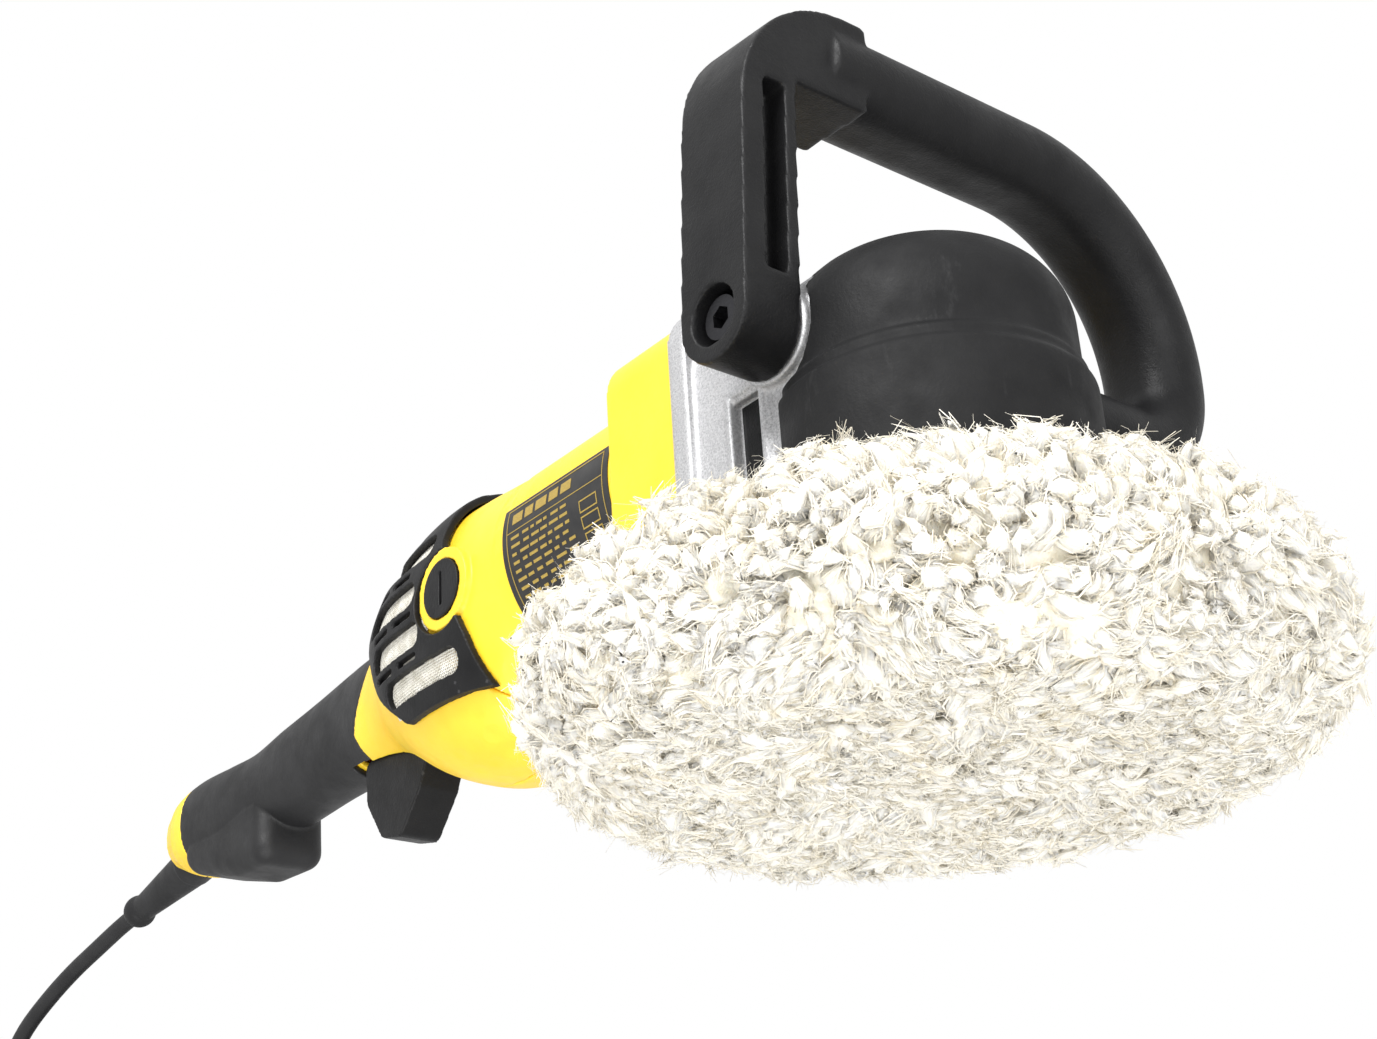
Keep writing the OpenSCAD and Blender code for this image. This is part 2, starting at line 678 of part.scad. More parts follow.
module handle_core() {
    difference() {
        union() {
            intersection() {
                rear_form(0);
                difference() {
                    translate([-60, 0, 0]) cube([120, 600, 200]);
                    side_plate(SOFT_AREA, -70, 70);
                }
            }
            rear_form(-soft_t - fit, 11);
        }
        translate([0, 2 * seam, 0]) side_plate(FRONT_AREA, -70, 70);
        difference() {
            rear_form(-shell_t, 0, RINGS - 1);
            // screw posts
            for (p = HANDLE_SCREWS) x_rod(4.5, -60, 60, p[0], p[1]);
        }
        // round the brush lobes and caps
        for (s = [-1, 1]) mirror([s < 0 ? 1 : 0, 0, 0])
            x_rod(lobe_r + 2 * seam, 20, 60, brush_y, brush_z);
        // trigger opening
        translate([-trigger_w / 2 - 0.6, trigger_y - 9, trigger_z - 48])
            cube([trigger_w + 1.2, trigger_end - trigger_y + 12, 54]);
        x_rod(trigger_pin_r + 0.02, -pin_half - fit, pin_half + fit, trigger_y, trigger_z);
        // lock-on button, speed dial and strain relief
        translate([0, lock_on_y, axis_h - 10]) cylinder(r = lock_on_r + 0.08, h = 60);
        translate([-dial_w / 2 - 0.5, dial_y - 13, axis_h - 19]) cube([dial_w + 1, 26, 60]);
        translate(relief_start) rotate([-90 - relief_tilt, 0, 0])
            translate([0, 0, -20]) cylinder(r = 9 + fit, h = 60);
        // air inlets under the dust meshes
        for (s = [-1, 1]) mirror([s < 0 ? 1 : 0, 0, 0]) slots(WINDOWS, -1, 16, 70);
    }
}

screw_seat = 9;
HANDLE_SCREWS = [
    [brush_y + 52, axis_h - 28], [mid_y + 42, axis_h - 20], [flare_y - 30, axis_h - 20],
    [tail_y - 17, axis_h - 8]
];

module handle_half(left) {
    color(yellow) difference() {
        intersection() {
            handle_core();
            side_half(left);
        }
        for (p = HANDLE_SCREWS) {
            x_rod(1.7, -8, 60, p[0], p[1]);
            x_rod(3.2, screw_seat, 60, p[0], p[1]);
        }
    }
}
module handle_half_left() { handle_half(false); }
module handle_half_right() { handle_half(true); }

module handle_screws() {
    color(steel) for (p = HANDLE_SCREWS)
        translate([screw_seat, p[0], p[1]]) rotate([0, 90, 0]) {
            difference() {
                cylinder(r = 3, h = 2.2);
                translate([-0.5, -2, 1]) cube([1, 4, 3]);
            }
            translate([0, 0, -15]) cylinder(r = 1.6, h = 15.01);
        }
}

heel_z = axis_h - 47;

// Hooked heel under the tail
module heel() {
    hull() {
        for (s = [-1, 1]) {
            translate([s * 8, flare_y - 15, heel_z + 7]) sphere(7, $fn = 32);
            translate([s * 8, flare_y + 6, heel_z + 8]) sphere(7, $fn = 32);
            translate([s * 9, tail_y - 27, axis_h - 30]) sphere(8, $fn = 32);
            translate([s * 8, flare_y - 14, axis_h - 24]) sphere(7, $fn = 32);
        }
    }
}

module soft_grip() {
    color(rubber) difference() {
        intersection() {
            union() {
                rear_form(0, 11, RINGS - 1);
                heel();
            }
            translate([0, 2 * seam, 0]) side_plate(SOFT_AREA, -70, 70);
            translate([0, -2 * seam, 0]) side_plate(SOFT_AREA, -70, 70);
        }
        rear_form(-soft_t, 10, RINGS);
        translate([-trigger_w / 2 - 1.5, trigger_y - 20, axis_h - 75])
            cube([trigger_w + 3, trigger_end - trigger_y + 25, 50]);
        translate([0, lock_on_y, axis_h - 10]) cylinder(r = lock_on_r + 0.8, h = 60);
        translate([-dial_w / 2 - 1, dial_y - 14, axis_h - 10]) cube([dial_w + 2, 28, 60]);
        for (p = HANDLE_SCREWS) x_rod(3.4, screw_seat, 60, p[0], p[1]);
    }
}

module shield_area(grow, top_gap) {
    difference() {
        side_plate(SHIELD_AREA, top_gap, 60);
        x_rod(lobe_r + 1 - grow, 0, 70, brush_y, brush_z);
    }
}

shield_in = 0.9;

module intake_shield(s) {
    color(rubber) mirror([s < 0 ? 1 : 0, 0, 0]) difference() {
        intersection() {
            difference() {
                rear_form(shield_in + shield_t, 1, 12);
                rear_form(shield_in, 0, 13);
            }
            shield_area(0, 6);
        }
        slots(WINDOWS, 0, 10, 70);
        slots(DASHES, 0, 10, 70);
    }
}
module intake_shield_right() { intake_shield(1); }
module intake_shield_left() { intake_shield(-1); }

module dust_mesh(s) {
    color([0.85, 0.83, 0.76]) mirror([s < 0 ? 1 : 0, 0, 0]) intersection() {
        difference() {
            rear_form(shield_in - 0.1, 1, 12);
            rear_form(0.1, 0, 13);
        }
        difference() {
            translate([0, 3, 0]) side_plate(SHIELD_AREA, 10, 60);
            translate([0, -8, 0]) x_rod(lobe_r + 4, 0, 70, brush_y + 8, brush_z);
            translate([0, 0, 0]) cube([100, brush_y - 4, 200]);
            translate([0, mid_y - 24, 0]) cube([100, 100, 300]);
        }
    }
}
module dust_mesh_right() { dust_mesh(1); }
module dust_mesh_left() { dust_mesh(-1); }

module rear_bearing_bridge() {
    r = barrel_r - shell_t - 0.5;
    y = split_y + 2;
    color(black) difference() {
        y_rod(r, y, y + 3, 0, axis_h);
        y_rod(armature_rear_out + fit, y - 1, y + 8, 0, axis_h);
        for (a = [30:60:330]) translate([0, 0, axis_h]) rotate([0, a, 0])
            y_rod(5, y - 1, y + 8, 22, 0);
    }
}

module power_module() {
    color([0.2, 0.22, 0.26]) translate([-10, brush_y + 24, axis_h - 45]) cube([20, 20, 20]);
    color([0.2, 0.22, 0.26]) difference() {
        translate([-5.5, dial_y - 5, axis_h - 21]) cube([11, 10, 18.5]);
        translate([-dial_w / 2 - 0.5, dial_y - 13, axis_h - 19]) cube([dial_w + 1, 26, 30]);
        x_rod(dial_axle_r + run_gap, -20, 20, dial_y, dial_z);
    }
}

module switch_body() {
    color(black) translate([-9, trigger_y + 8, axis_h - 17]) cube([18, 26, 16]);
}

// ---------- bearings ----------

module spindle_bearing_top() {
    color(steel) translate([0, 0, top_bearing_z]) bearing(top_seat_r, top_out, top_bearing_h);
}
module spindle_bearing_bottom() {
    color(steel) translate([0, 0, floor_bearing_z + fit])
        bearing(spindle_r, spindle_out, floor_bearing_h - 2 * fit);
}
module countershaft_bearing_front() {
    color(steel) y_bearing(counter_r, counter_out, 8, front_bearing_y, counter_z);
}
module countershaft_bearing_rear() {
    color(steel) y_bearing(counter_rear_r, counter_rear_out, 5, plate_y - 0.1, counter_z);
}
module armature_bearing_front() {
    color(steel) y_bearing(armature_r, armature_out, 7.5, plate_y + 0.2, axis_h);
}
module armature_bearing_rear() {
    color(steel) y_bearing(armature_rear_r, armature_rear_out, 6, split_y + 1, axis_h);
}

// ---------- bail handle ----------

head_seat = leg_t - 10;

module bail_screws() {
    color(steel) for (s = [-1, 1]) mirror([s < 0 ? 1 : 0, 0, 0])
        translate([leg_in + head_seat + fit, bail_y, bail_z]) rotate([0, 90, 0]) {
            socket_screw(bail_screw_r, head_seat + 12, bail_screw_r + 2.5, 7);
        }
}

// The loop is drawn in its own plane: x across, y up from the screws, z towards the back
module loop_section() {
    translate([-grip_r, -grip_extra / 2]) square([2 * grip_r, grip_extra]);
    for (s = [-1, 1]) translate([0, s * grip_extra / 2]) circle(grip_r);
}

// Straight run of the grip's section, from x0 to x1 at height y
module loop_run(x0, x1, y) {
    translate([x0, y, 0]) rotate([0, 90, 0]) rotate([0, 0, 90]) linear_extrude(x1 - x0)
        loop_section();
}

// Quarter turn of the grip's section about a centre, from angle a0
module loop_turn(cx, cy, r, a0) {
    translate([cx, cy, 0]) rotate([0, 0, a0]) rotate_extrude(angle = 90, $fn = 64)
        translate([r, 0]) loop_section();
}

// Flat outline of the straight leg and the outer corner
module leg_outline() {
    x0 = -leg_in - leg_t;
    top = grip_rise + grip_r + 1;
    translate([x0, -leg_w / 2]) square([leg_t, top - corner_r + leg_w / 2]);
    intersection() {
        translate([x0 + corner_r, top - corner_r]) circle(corner_r, $fn = 64);
        translate([x0, 0]) square([corner_r + 8, top]);
    }
    translate([x0 + corner_r - 1, top - corner_r]) square([8, corner_r]);
}

foot_r = 22;
foot_x = grip_half + sweep_r - foot_r;
foot_y = 3;

module bail_form() {
    loop_run(-leg_in - leg_t + corner_r - 5, grip_half, grip_rise);
    loop_turn(grip_half, grip_rise - sweep_r, sweep_r, 0);
    translate([grip_half + sweep_r, foot_r + foot_y, 0]) rotate([-90, 0, 0])
        linear_extrude(grip_rise - sweep_r - foot_r - foot_y + 0.01) loop_section();
    loop_turn(foot_x, foot_r + foot_y, foot_r, 270);
    loop_run(leg_in + 10, foot_x, foot_y);
    // eye on the round side
    translate([leg_in, 0, 0]) rotate([0, 90, 0]) cylinder(r = leg_w / 2, h = leg_t);
    // straight leg
    intersection() {
        difference() {
            translate([0, 0, -leg_w / 2]) linear_extrude(leg_w) leg_outline();
            // opening under the grip
            translate([-leg_in, -50, -leg_w]) cube([60, 50 + grip_rise - grip_r - 2, 2 * leg_w]);
        }
        union() {
            translate([-leg_in - leg_t - 1, 0, 0]) rotate([0, 90, 0])
                cylinder(r = leg_w / 2, h = 80);
            translate([-leg_in - leg_t - 1, 0, -leg_w / 2]) cube([80, 200, leg_w]);
        }
    }
}

slot_w = 8;
slot_depth = 9;

module bail_handle() {
    color(black) translate([0, bail_y, bail_z]) rotate([90 + bail_lean, 0, 0])
        mirror([0, 0, 1]) difference() {
            bail_form();
            // screw holes with counterbores
            for (s = [-1, 1]) {
                translate([s * leg_in, 0, 0]) rotate([0, s * 90, 0]) {
                    translate([0, 0, -1]) cylinder(r = bail_screw_r + 0.08, h = leg_t + 9);
                    translate([0, 0, head_seat]) cylinder(r = cbore_r, h = 90);
                }
            }
            // long pocket in the front of the straight leg
            translate([-leg_in - leg_t / 2 - slot_w / 2 + 2, 12, -leg_w / 2 - 1])
                cube([slot_w, 60, slot_depth + 1]);
            // grooves along the grip's crown
            for (x = [-18, 40], z = [-6, 6]) translate([x, grip_rise + grip_r - 0.7, z - 0.6])
                cube([24, 2, 1.2]);
        }
}

// ---------- spindle and pad ----------

hub_z = 30;
nut_z = 46;

module spindle() {
    color(steel) {
        translate([0, 0, hub_z]) cylinder(r = spindle_r - 1, h = 24);
        translate([0, 0, 50]) cylinder(r = spindle_r + 4, h = 11.5);
        translate([0, 0, 50]) cylinder(r = spindle_r, h = counter_z + ring_front - 50 - 1);
        translate([0, 0, counter_z]) cylinder(r = top_seat_r, h = top_bearing_z + top_bearing_h
            - counter_z - 1);
    }
}

// Toothed crown of the ring gear: teeth face the apex at the origin, flat back on top
crown_in = 22.6 * bevel_m / 1.5;
module crown() {
    p = 360 / ring_teeth;
    w = p * tooth_fill / 2;
    n = 4 * ring_teeth;
    out = ring_r - 0.3;
    turn = [for (i = [0:ring_teeth - 1]) each [i * p - 1.4 * w, i * p - 0.5 * w,
                                               i * p + 0.5 * w, i * p + 1.4 * w]];
    root = tan(ring_cone - root_angle);
    tip = tan(ring_cone + tip_angle);
    function at(k, r, z) = [r * cos(turn[k]), r * sin(turn[k]), z];
    function slope(k) = k % 4 == 0 || k % 4 == 3 ? root : tip;
    points = [
        each [for (k = [0:n - 1]) at(k, crown_in, crown_in / slope(k))],
        each [for (k = [0:n - 1]) at(k, out, out / slope(k))],
        each [for (k = [0:n - 1]) at(k, out, ring_back + 1)],
        each [for (k = [0:n - 1]) at(k, crown_in, ring_back + 1)]
    ];
    close = [for (k = [0:n - 1]) let (a = 3 * n + k, b = 3 * n + (k + 1) % n, m = (k + 1) % n)
        each [[a, k, m], [a, m, b]]];
    polyhedron(points, concat(band(0, n), band(1, n), band(2, n), close));
}

module ring_gear() {
    color(steel) translate([0, 0, counter_z]) rotate([0, 0, 90]) difference() {
        union() {
            crown();
            translate([0, 0, ring_front])
                cylinder(r = crown_in + 0.4, h = ring_back - ring_front + 2);
            translate([0, 0, ring_back]) cylinder(r = ring_r, h = blank_t);
        }
        translate([0, 0, -1]) cylinder(r = top_seat_r + 0.02, h = 60);
        for (i = [0:lock_holes - 1]) rotate([0, 0, i * 360 / lock_holes])
            translate([lock_y, 0, ring_back + blank_t - lock_travel])
                cylinder(r = lock_pin_r + 0.5, h = 20);
    }
}

module backing_pad() {
    color(black) difference() {
        union() {
            translate([0, 0, hub_z - 2]) cylinder(r1 = backing_r - 2, r2 = backing_r, h = 6);
            translate([0, 0, hub_z + 3.9]) cylinder(r1 = backing_r - 10, r2 = 34, h = 8);
        }
        cylinder(r = spindle_r - 1 + 0.02, h = 100);
    }
}

module pad_flange_nut() {
    color(steel) difference() {
        union() {
            translate([0, 0, hub_z + 12]) cylinder(r = 19, h = 3);
            translate([0, 0, hub_z + 15 - 0.01]) cylinder(r = 15, h = 5 - fit, $fn = 6);
        }
        cylinder(r = spindle_r - 1 + 0.02, h = 100);
    }
}

module wool_pad() {
    color(wool) difference() {
        rotate_extrude($fn = 64) {
            square([pad_r - pad_round, pad_h]);
            translate([0, pad_round]) square([pad_r, pad_h - 2 * pad_round]);
            for (z = [pad_round, pad_h - pad_round]) translate([pad_r - pad_round, z])
                circle(pad_round);
        }
        translate([0, 0, hub_z - 2 - fit]) cylinder(r = backing_r + fit, h = 6 + 2 * fit);
        translate([0, 0, hub_z]) cylinder(r = well_r, h = 100);
        translate([0, 0, hub_z + 3.9]) cylinder(r1 = backing_r - 10 + fit, r2 = 34 + fit, h = 8);
        translate([0, 0, hub_z - 12]) cylinder(r = spindle_r, h = 20);
    }
}

// ---------- countershaft ----------

module countershaft() {
    color(steel) {
        y_rod(counter_r, pinion_in - 1, plate_y - 0.6, 0, counter_z);
        y_rod(counter_rear_r, flange_y - 1, plate_y + 4.5, 0, counter_z);
    }
}

module countershaft_gear() {
    color(steel) difference() {
        translate([0, 51, counter_z]) rotate([90, 0, 0]) linear_extrude(8)
            rotate([0, 0, 90]) spur_outline(gear_teeth);
        y_rod(counter_r + 0.02, 40, 60, 0, counter_z);
    }
}

module bevel_pinion() {
    back = pinion_out;
    color(steel) difference() {
        union() {
            translate([0, 0, counter_z]) rotate([-90, 0, 0])
                rotate([0, 0, -90 + 180 / bevel_teeth])
                    bevel_teeth_form(bevel_teeth, 90 - ring_cone, pinion_in, back);
            y_rod(counter_r + 1.8, back - 0.01, back + 1.6, 0, counter_z);
        }
        y_rod(counter_r + 0.02, 10, 60, 0, counter_z);
    }
}

// ---------- armature ----------

module armature_shaft() {
    color(steel) {
        y_rod(armature_r, flange_y - 1, split_y, 0, axis_h);
        y_rod(armature_rear_r, split_y - 1, split_y + 7, 0, axis_h);
        translate([0, 51.5, axis_h]) rotate([90, 0, 0]) linear_extrude(9)
            rotate([0, 0, -90 + 180 / pinion_teeth]) spur_outline(pinion_teeth);
    }
}

module armature_core() {
    color([0.45, 0.45, 0.48]) difference() {
        y_rod(core_in - 1, core_y, core_y + core_l, 0, axis_h);
        y_rod(armature_r + 0.02, 0, 400, 0, axis_h);
        for (i = [0:11]) translate([0, 0, axis_h]) rotate([0, i * 30, 0])
            translate([core_in - 5, core_y - 1, -1.2]) cube([6, core_l + 2, 2.4]);
    }
}

module commutator() {
    color(copper) difference() {
        y_rod(commutator_r, brush_y - 10, brush_y + 10, 0, axis_h);
        y_rod(armature_r + 0.02, 0, 400, 0, axis_h);
    }
}

module cooling_fan() {
    color([0.2, 0.2, 0.22]) difference() {
        union() {
            y_rod(fan_r, fan_y, fan_y + 2, 0, axis_h);
            y_rod(8, fan_y, fan_y + 11, 0, axis_h);
            for (i = [0:11]) translate([0, 0, axis_h]) rotate([0, i * 30, 0])
                translate([7, fan_y + 1, 0]) cube([fan_r - 8, 9, 1.6]);
        }
        y_rod(armature_r + 0.02, 0, 400, 0, axis_h);
    }
}

// ---------- controls ----------

TRIGGER_CORNERS = [
    [trigger_y - 3, trigger_z, 5], [trigger_y + 3, axis_h - 46, 3],
    [trigger_y + 15, axis_h - 58, 4], [trigger_y + 24, axis_h - 56, 4],
    [trigger_end - 7, axis_h - 43, 4], [trigger_end - 6, axis_h - 32, 4]
];

module trigger() {
    color(black) difference() {
        hull() for (c = TRIGGER_CORNERS)
            x_rod(c[2], -trigger_w / 2, trigger_w / 2, c[0], c[1], $fn = 32);
        x_rod(trigger_pin_r + 0.06, -20, 20, trigger_y, trigger_z);
    }
}

module trigger_pin() {
    color(steel) x_rod(trigger_pin_r, -pin_half, pin_half, trigger_y, trigger_z);
}

module lock_on_button() {
    top = section(lock_on_y, 1);
    color(black) {
        translate([0, lock_on_y, top - 10]) cylinder(r = lock_on_r, h = 13);
    }
}

module speed_dial() {
    color(black) difference() {
        union() {
            x_rod(dial_r, -dial_w / 2, dial_w / 2, dial_y, dial_z);
            x_rod(dial_axle_r, -5.3, 5.3, dial_y, dial_z);
        }
        for (i = [0:23]) translate([0, dial_y, dial_z]) rotate([i * 15, 0, 0])
            translate([-10, dial_r - 0.6, -0.5]) cube([20, 2, 1]);
    }
}

module spindle_lock_button() {
    tip = counter_z + ring_back + blank_t + lock_gap;
    color(black) {
        translate([0, lock_y, tip]) cylinder(r = lock_pin_r, h = case_top + 4 - tip);
        translate([0, lock_y, case_top + lock_travel - 4.5]) cylinder(r = lock_cap_r, h = 9);
        for (i = [-2:2]) translate([-5, lock_y + i * 2.6 - 0.6, case_top + lock_travel + 4])
            cube([10, 1.2, 1.2]);
    }
}

// ---------- lead ----------

module strain_relief() {
    color(rubber) translate(relief_start) rotate([-90 - relief_tilt, 0, 0]) difference() {
        union() {
            translate([0, 0, -8]) cylinder(r = 9, h = 12);
            cylinder(r1 = 9, r2 = 5.4, h = relief_len - 8);
            translate([0, 0, relief_len - 5.5]) intersection() {
                sphere(7);
                translate([0, 0, -5.5]) cylinder(r = 8, h = 11);
            }
        }
        translate([0, 0, -10]) cylinder(r = 2, h = 4);
    }
}

module power_cord() {
    color(black) route_tube(CORD_ROUTE, lead_r, 10);
}

module cord_coil() {
    color(black) translate([COIL_CENTRE[0], COIL_CENTRE[1], 0]) rotate_extrude()
        translate([coil_in, 0]) square([COIL_COLUMNS * lead_d, COIL_LAYERS * lead_d]);
}

module plug_lead() {
    color(black) route_tube(LEAD_ROUTE, lead_r, 10);
}

module cord_tie() {
    w = COIL_COLUMNS * lead_d;
    h = COIL_LAYERS * lead_d;
    color(rubber) translate([COIL_CENTRE[0] - coil_in - w / 2, COIL_CENTRE[1], 0]) difference() {
        translate([-w / 2 - 2, -4, 0]) cube([w + 4, 8, h + 1.6]);
        translate([-w / 2 - 0.5, -5, -1]) cube([w + 1, 10, h + 1 + fit]);
    }
}

module mains_plug() {
    color(black) translate(PLUG_AT) rotate([90, 0, 0]) {
        cylinder(r1 = 6, r2 = 8, h = 12);
        translate([0, 0, 11.9]) cylinder(r = plug_r, h = 26);
        for (s = [-1, 1]) translate([s * 9.5, 0, 37]) cylinder(r = 2.4, h = 19);
    }
}

gear_case();
gear_case_cover();
bearing_retainer();
retainer_screws();
gear_case_screws();
spindle_seal();
bearing_plate();
motor_housing();
handle_half_left();
handle_half_right();
soft_grip();
handle_screws();
intake_shield_left();
intake_shield_right();
dust_mesh_left();
dust_mesh_right();
rating_label();
brush_cap_left();
brush_cap_right();
brush_holders();
carbon_brushes();
stator_core();
field_coils();
rear_bearing_bridge();
power_module();
switch_body();
spindle_bearing_top();
spindle_bearing_bottom();
countershaft_bearing_front();
countershaft_bearing_rear();
armature_bearing_front();
armature_bearing_rear();
bail_screws();
trigger_pin();
bail_handle();
spindle();
ring_gear();
backing_pad();
pad_flange_nut();
wool_pad();
countershaft();
countershaft_gear();
bevel_pinion();
armature_shaft();
armature_core();
commutator();
cooling_fan();
trigger();
lock_on_button();
speed_dial();
spindle_lock_button();
strain_relief();
power_cord();
cord_coil();
plug_lead();
cord_tie();
mains_plug();
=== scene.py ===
"""Right-angle rotary polisher: the looks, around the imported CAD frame. Metres."""
import math

import bmesh
import bpy
import numpy as np
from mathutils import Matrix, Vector


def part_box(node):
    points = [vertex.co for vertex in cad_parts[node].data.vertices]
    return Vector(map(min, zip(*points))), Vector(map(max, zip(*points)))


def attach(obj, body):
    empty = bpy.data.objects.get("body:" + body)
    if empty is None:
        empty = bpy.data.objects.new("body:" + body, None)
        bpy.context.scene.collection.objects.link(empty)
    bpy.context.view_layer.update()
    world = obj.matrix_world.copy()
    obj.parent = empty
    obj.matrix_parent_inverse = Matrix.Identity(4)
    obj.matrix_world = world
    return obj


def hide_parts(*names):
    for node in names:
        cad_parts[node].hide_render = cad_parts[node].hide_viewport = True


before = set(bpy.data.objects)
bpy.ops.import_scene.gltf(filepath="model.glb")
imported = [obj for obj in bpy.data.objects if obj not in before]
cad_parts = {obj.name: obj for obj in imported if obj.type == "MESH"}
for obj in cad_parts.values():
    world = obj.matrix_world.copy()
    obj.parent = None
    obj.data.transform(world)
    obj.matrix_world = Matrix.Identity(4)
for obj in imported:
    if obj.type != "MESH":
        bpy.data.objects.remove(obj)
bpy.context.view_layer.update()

MM = 0.001
pad_low, pad_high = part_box("wool_pad")
cap_low, cap_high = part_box("brush_cap_right")
tail_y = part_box("handle_half_left")[1].y
brush_y = (cap_low.y + cap_high.y) / 2
core_low, core_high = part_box("armature_core")
axis_z = core_low.z / 2 + core_high.z / 2
barrel_r = 37.5 * MM
random = np.random.default_rng(7)


# ---------- camera, light, floor ----------

CAMERA_AT = (-0.3879, -0.36984, -0.16678)
CAMERA_TURN = 39.78       # degrees from the tool's length
CAMERA_LIFT = 25.91       # degrees above level
CAMERA_ROLL = 3.6
LENS = 55.54              # focal length for a sensor 36 mm wide
LIGHT_AIM = (0, 0.15, 0.08)
FLOOR_HALF = 3.0


def make_camera():
    data = bpy.data.cameras.new("camera")
    data.lens = LENS
    data.sensor_width = 36
    data.shift_x = -0.0005
    data.shift_y = -0.02
    data.clip_start = 0.01
    turn, lift, roll = (math.radians(a) for a in (CAMERA_TURN, CAMERA_LIFT, CAMERA_ROLL))
    ahead = Vector((math.sin(turn) * math.cos(lift), math.cos(turn) * math.cos(lift),
                    math.sin(lift)))
    level = ahead.cross(Vector((0, 0, 1))).normalized()
    down = ahead.cross(level)
    right = level * math.cos(roll) + down * math.sin(roll)
    camera = bpy.data.objects.new("camera", data)
    bpy.context.collection.objects.link(camera)
    matrix = camera.matrix_world.copy()
    for column, axis in enumerate((right, right.cross(ahead), -ahead)):
        for row in range(3):
            matrix[row][column] = axis[row]
        matrix[column][3] = CAMERA_AT[column]
    camera.matrix_world = matrix
    bpy.context.scene.camera = camera


def make_light(name, at, size, power):
    data = bpy.data.lights.new(name, "AREA")
    data.shape = "DISK"
    data.size = size
    data.energy = power
    light = bpy.data.objects.new(name, data)
    bpy.context.collection.objects.link(light)
    light.location = at
    light.rotation_euler = (Vector(LIGHT_AIM) - Vector(at)).to_track_quat("-Z", "Y").to_euler()


def make_world(fill):
    """White for the camera, and a softer white for the light that it gives."""
    world = bpy.data.worlds.new("studio")
    bpy.context.scene.world = world
    world.use_nodes = True
    tree = world.node_tree
    lit, seen = tree.nodes["Background"], tree.nodes.new("ShaderNodeBackground")
    lit.inputs["Color"].default_value = (1, 1, 1, 1)
    lit.inputs["Strength"].default_value = fill
    seen.inputs["Color"].default_value = (1, 1, 1, 1)
    path, mix = tree.nodes.new("ShaderNodeLightPath"), tree.nodes.new("ShaderNodeMixShader")
    tree.links.new(path.outputs["Is Camera Ray"], mix.inputs["Fac"])
    tree.links.new(lit.outputs[0], mix.inputs[1])
    tree.links.new(seen.outputs[0], mix.inputs[2])
    tree.links.new(mix.outputs[0], tree.nodes["World Output"].inputs["Surface"])


def make_floor():
    """A pale floor that shows from above, and that light and a camera below pass through."""
    mesh = bpy.data.meshes.new("floor")
    corners = [(-1, -1), (1, -1), (1, 1), (-1, 1)]
    mesh.from_pydata([(x * FLOOR_HALF, y * FLOOR_HALF, pad_low.z) for x, y in corners],
                     [], [(0, 1, 2, 3)])
    floor = bpy.data.objects.new("floor", mesh)
    bpy.context.collection.objects.link(floor)
    material, tree, shader = start_material("floor_white", (0.86, 0.86, 0.85), 0.8)
    facing = tree.nodes.new("ShaderNodeNewGeometry")
    clear, mix = (tree.nodes.new("ShaderNodeBsdfTransparent"),
                  tree.nodes.new("ShaderNodeMixShader"))
    tree.links.new(facing.outputs["Backfacing"], mix.inputs["Fac"])
    tree.links.new(shader.outputs[0], mix.inputs[1])
    tree.links.new(clear.outputs[0], mix.inputs[2])
    tree.links.new(mix.outputs[0], tree.nodes["Material Output"].inputs["Surface"])
    mesh.materials.append(material)
    floor.visible_diffuse = floor.visible_glossy = False
    floor.visible_shadow = floor.visible_transmission = False


# ---------- materials ----------

def start_material(name, colour, roughness, **sockets):
    material = bpy.data.materials.new(name)
    material.use_nodes = True
    tree = material.node_tree
    shader = tree.nodes["Principled BSDF"]
    shader.inputs["Base Color"].default_value = (*colour, 1)
    shader.inputs["Roughness"].default_value = roughness
    for socket, value in sockets.items():
        shader.inputs[socket.replace("_", " ")].default_value = value
    return material, tree, shader


def noise(tree, scale, detail=4.0, rough=0.55, stretch=None):
    """Noise over the object's own coordinates, scale in features a metre."""
    place = tree.nodes.new("ShaderNodeTexCoord").outputs["Object"]
    if stretch:
        mapping = tree.nodes.new("ShaderNodeMapping")
        mapping.inputs["Scale"].default_value = stretch
        tree.links.new(place, mapping.inputs["Vector"])
        place = mapping.outputs["Vector"]
    node = tree.nodes.new("ShaderNodeTexNoise")
    node.inputs["Scale"].default_value = scale
    node.inputs["Detail"].default_value = detail
    node.inputs["Roughness"].default_value = rough
    tree.links.new(place, node.inputs["Vector"])
    return node.outputs["Fac"]


def ramp(tree, value, stops):
    """Colour ramp: stops are (position, colour)."""
    node = tree.nodes.new("ShaderNodeValToRGB")
    elements = node.color_ramp.elements
    while len(elements) < len(stops):
        elements.new(0.5)
    for element, (position, colour) in zip(elements, stops):
        element.position = position
        element.color = (*colour, 1)
    tree.links.new(value, node.inputs["Fac"])
    return node.outputs["Color"]


def span(tree, value, low, high, out_low, out_high):
    """Maps one range of values onto another."""
    node = tree.nodes.new("ShaderNodeMapRange")
    for socket, number in zip(("From Min", "From Max", "To Min", "To Max"),
                              (low, high, out_low, out_high)):
        node.inputs[socket].default_value = number
    tree.links.new(value, node.inputs["Value"])
    return node.outputs["Result"]


def mix_colour(tree, factor, a, b):
    """Between colours a and b; each may be a socket or a plain colour."""
    node = tree.nodes.new("ShaderNodeMix")
    node.data_type = "RGBA"
    for socket, value in zip((node.inputs[0], node.inputs[6], node.inputs[7]), (factor, a, b)):
        if hasattr(value, "links"):
            tree.links.new(value, socket)
        else:
            socket.default_value = (*value, 1)
    return node.outputs[2]


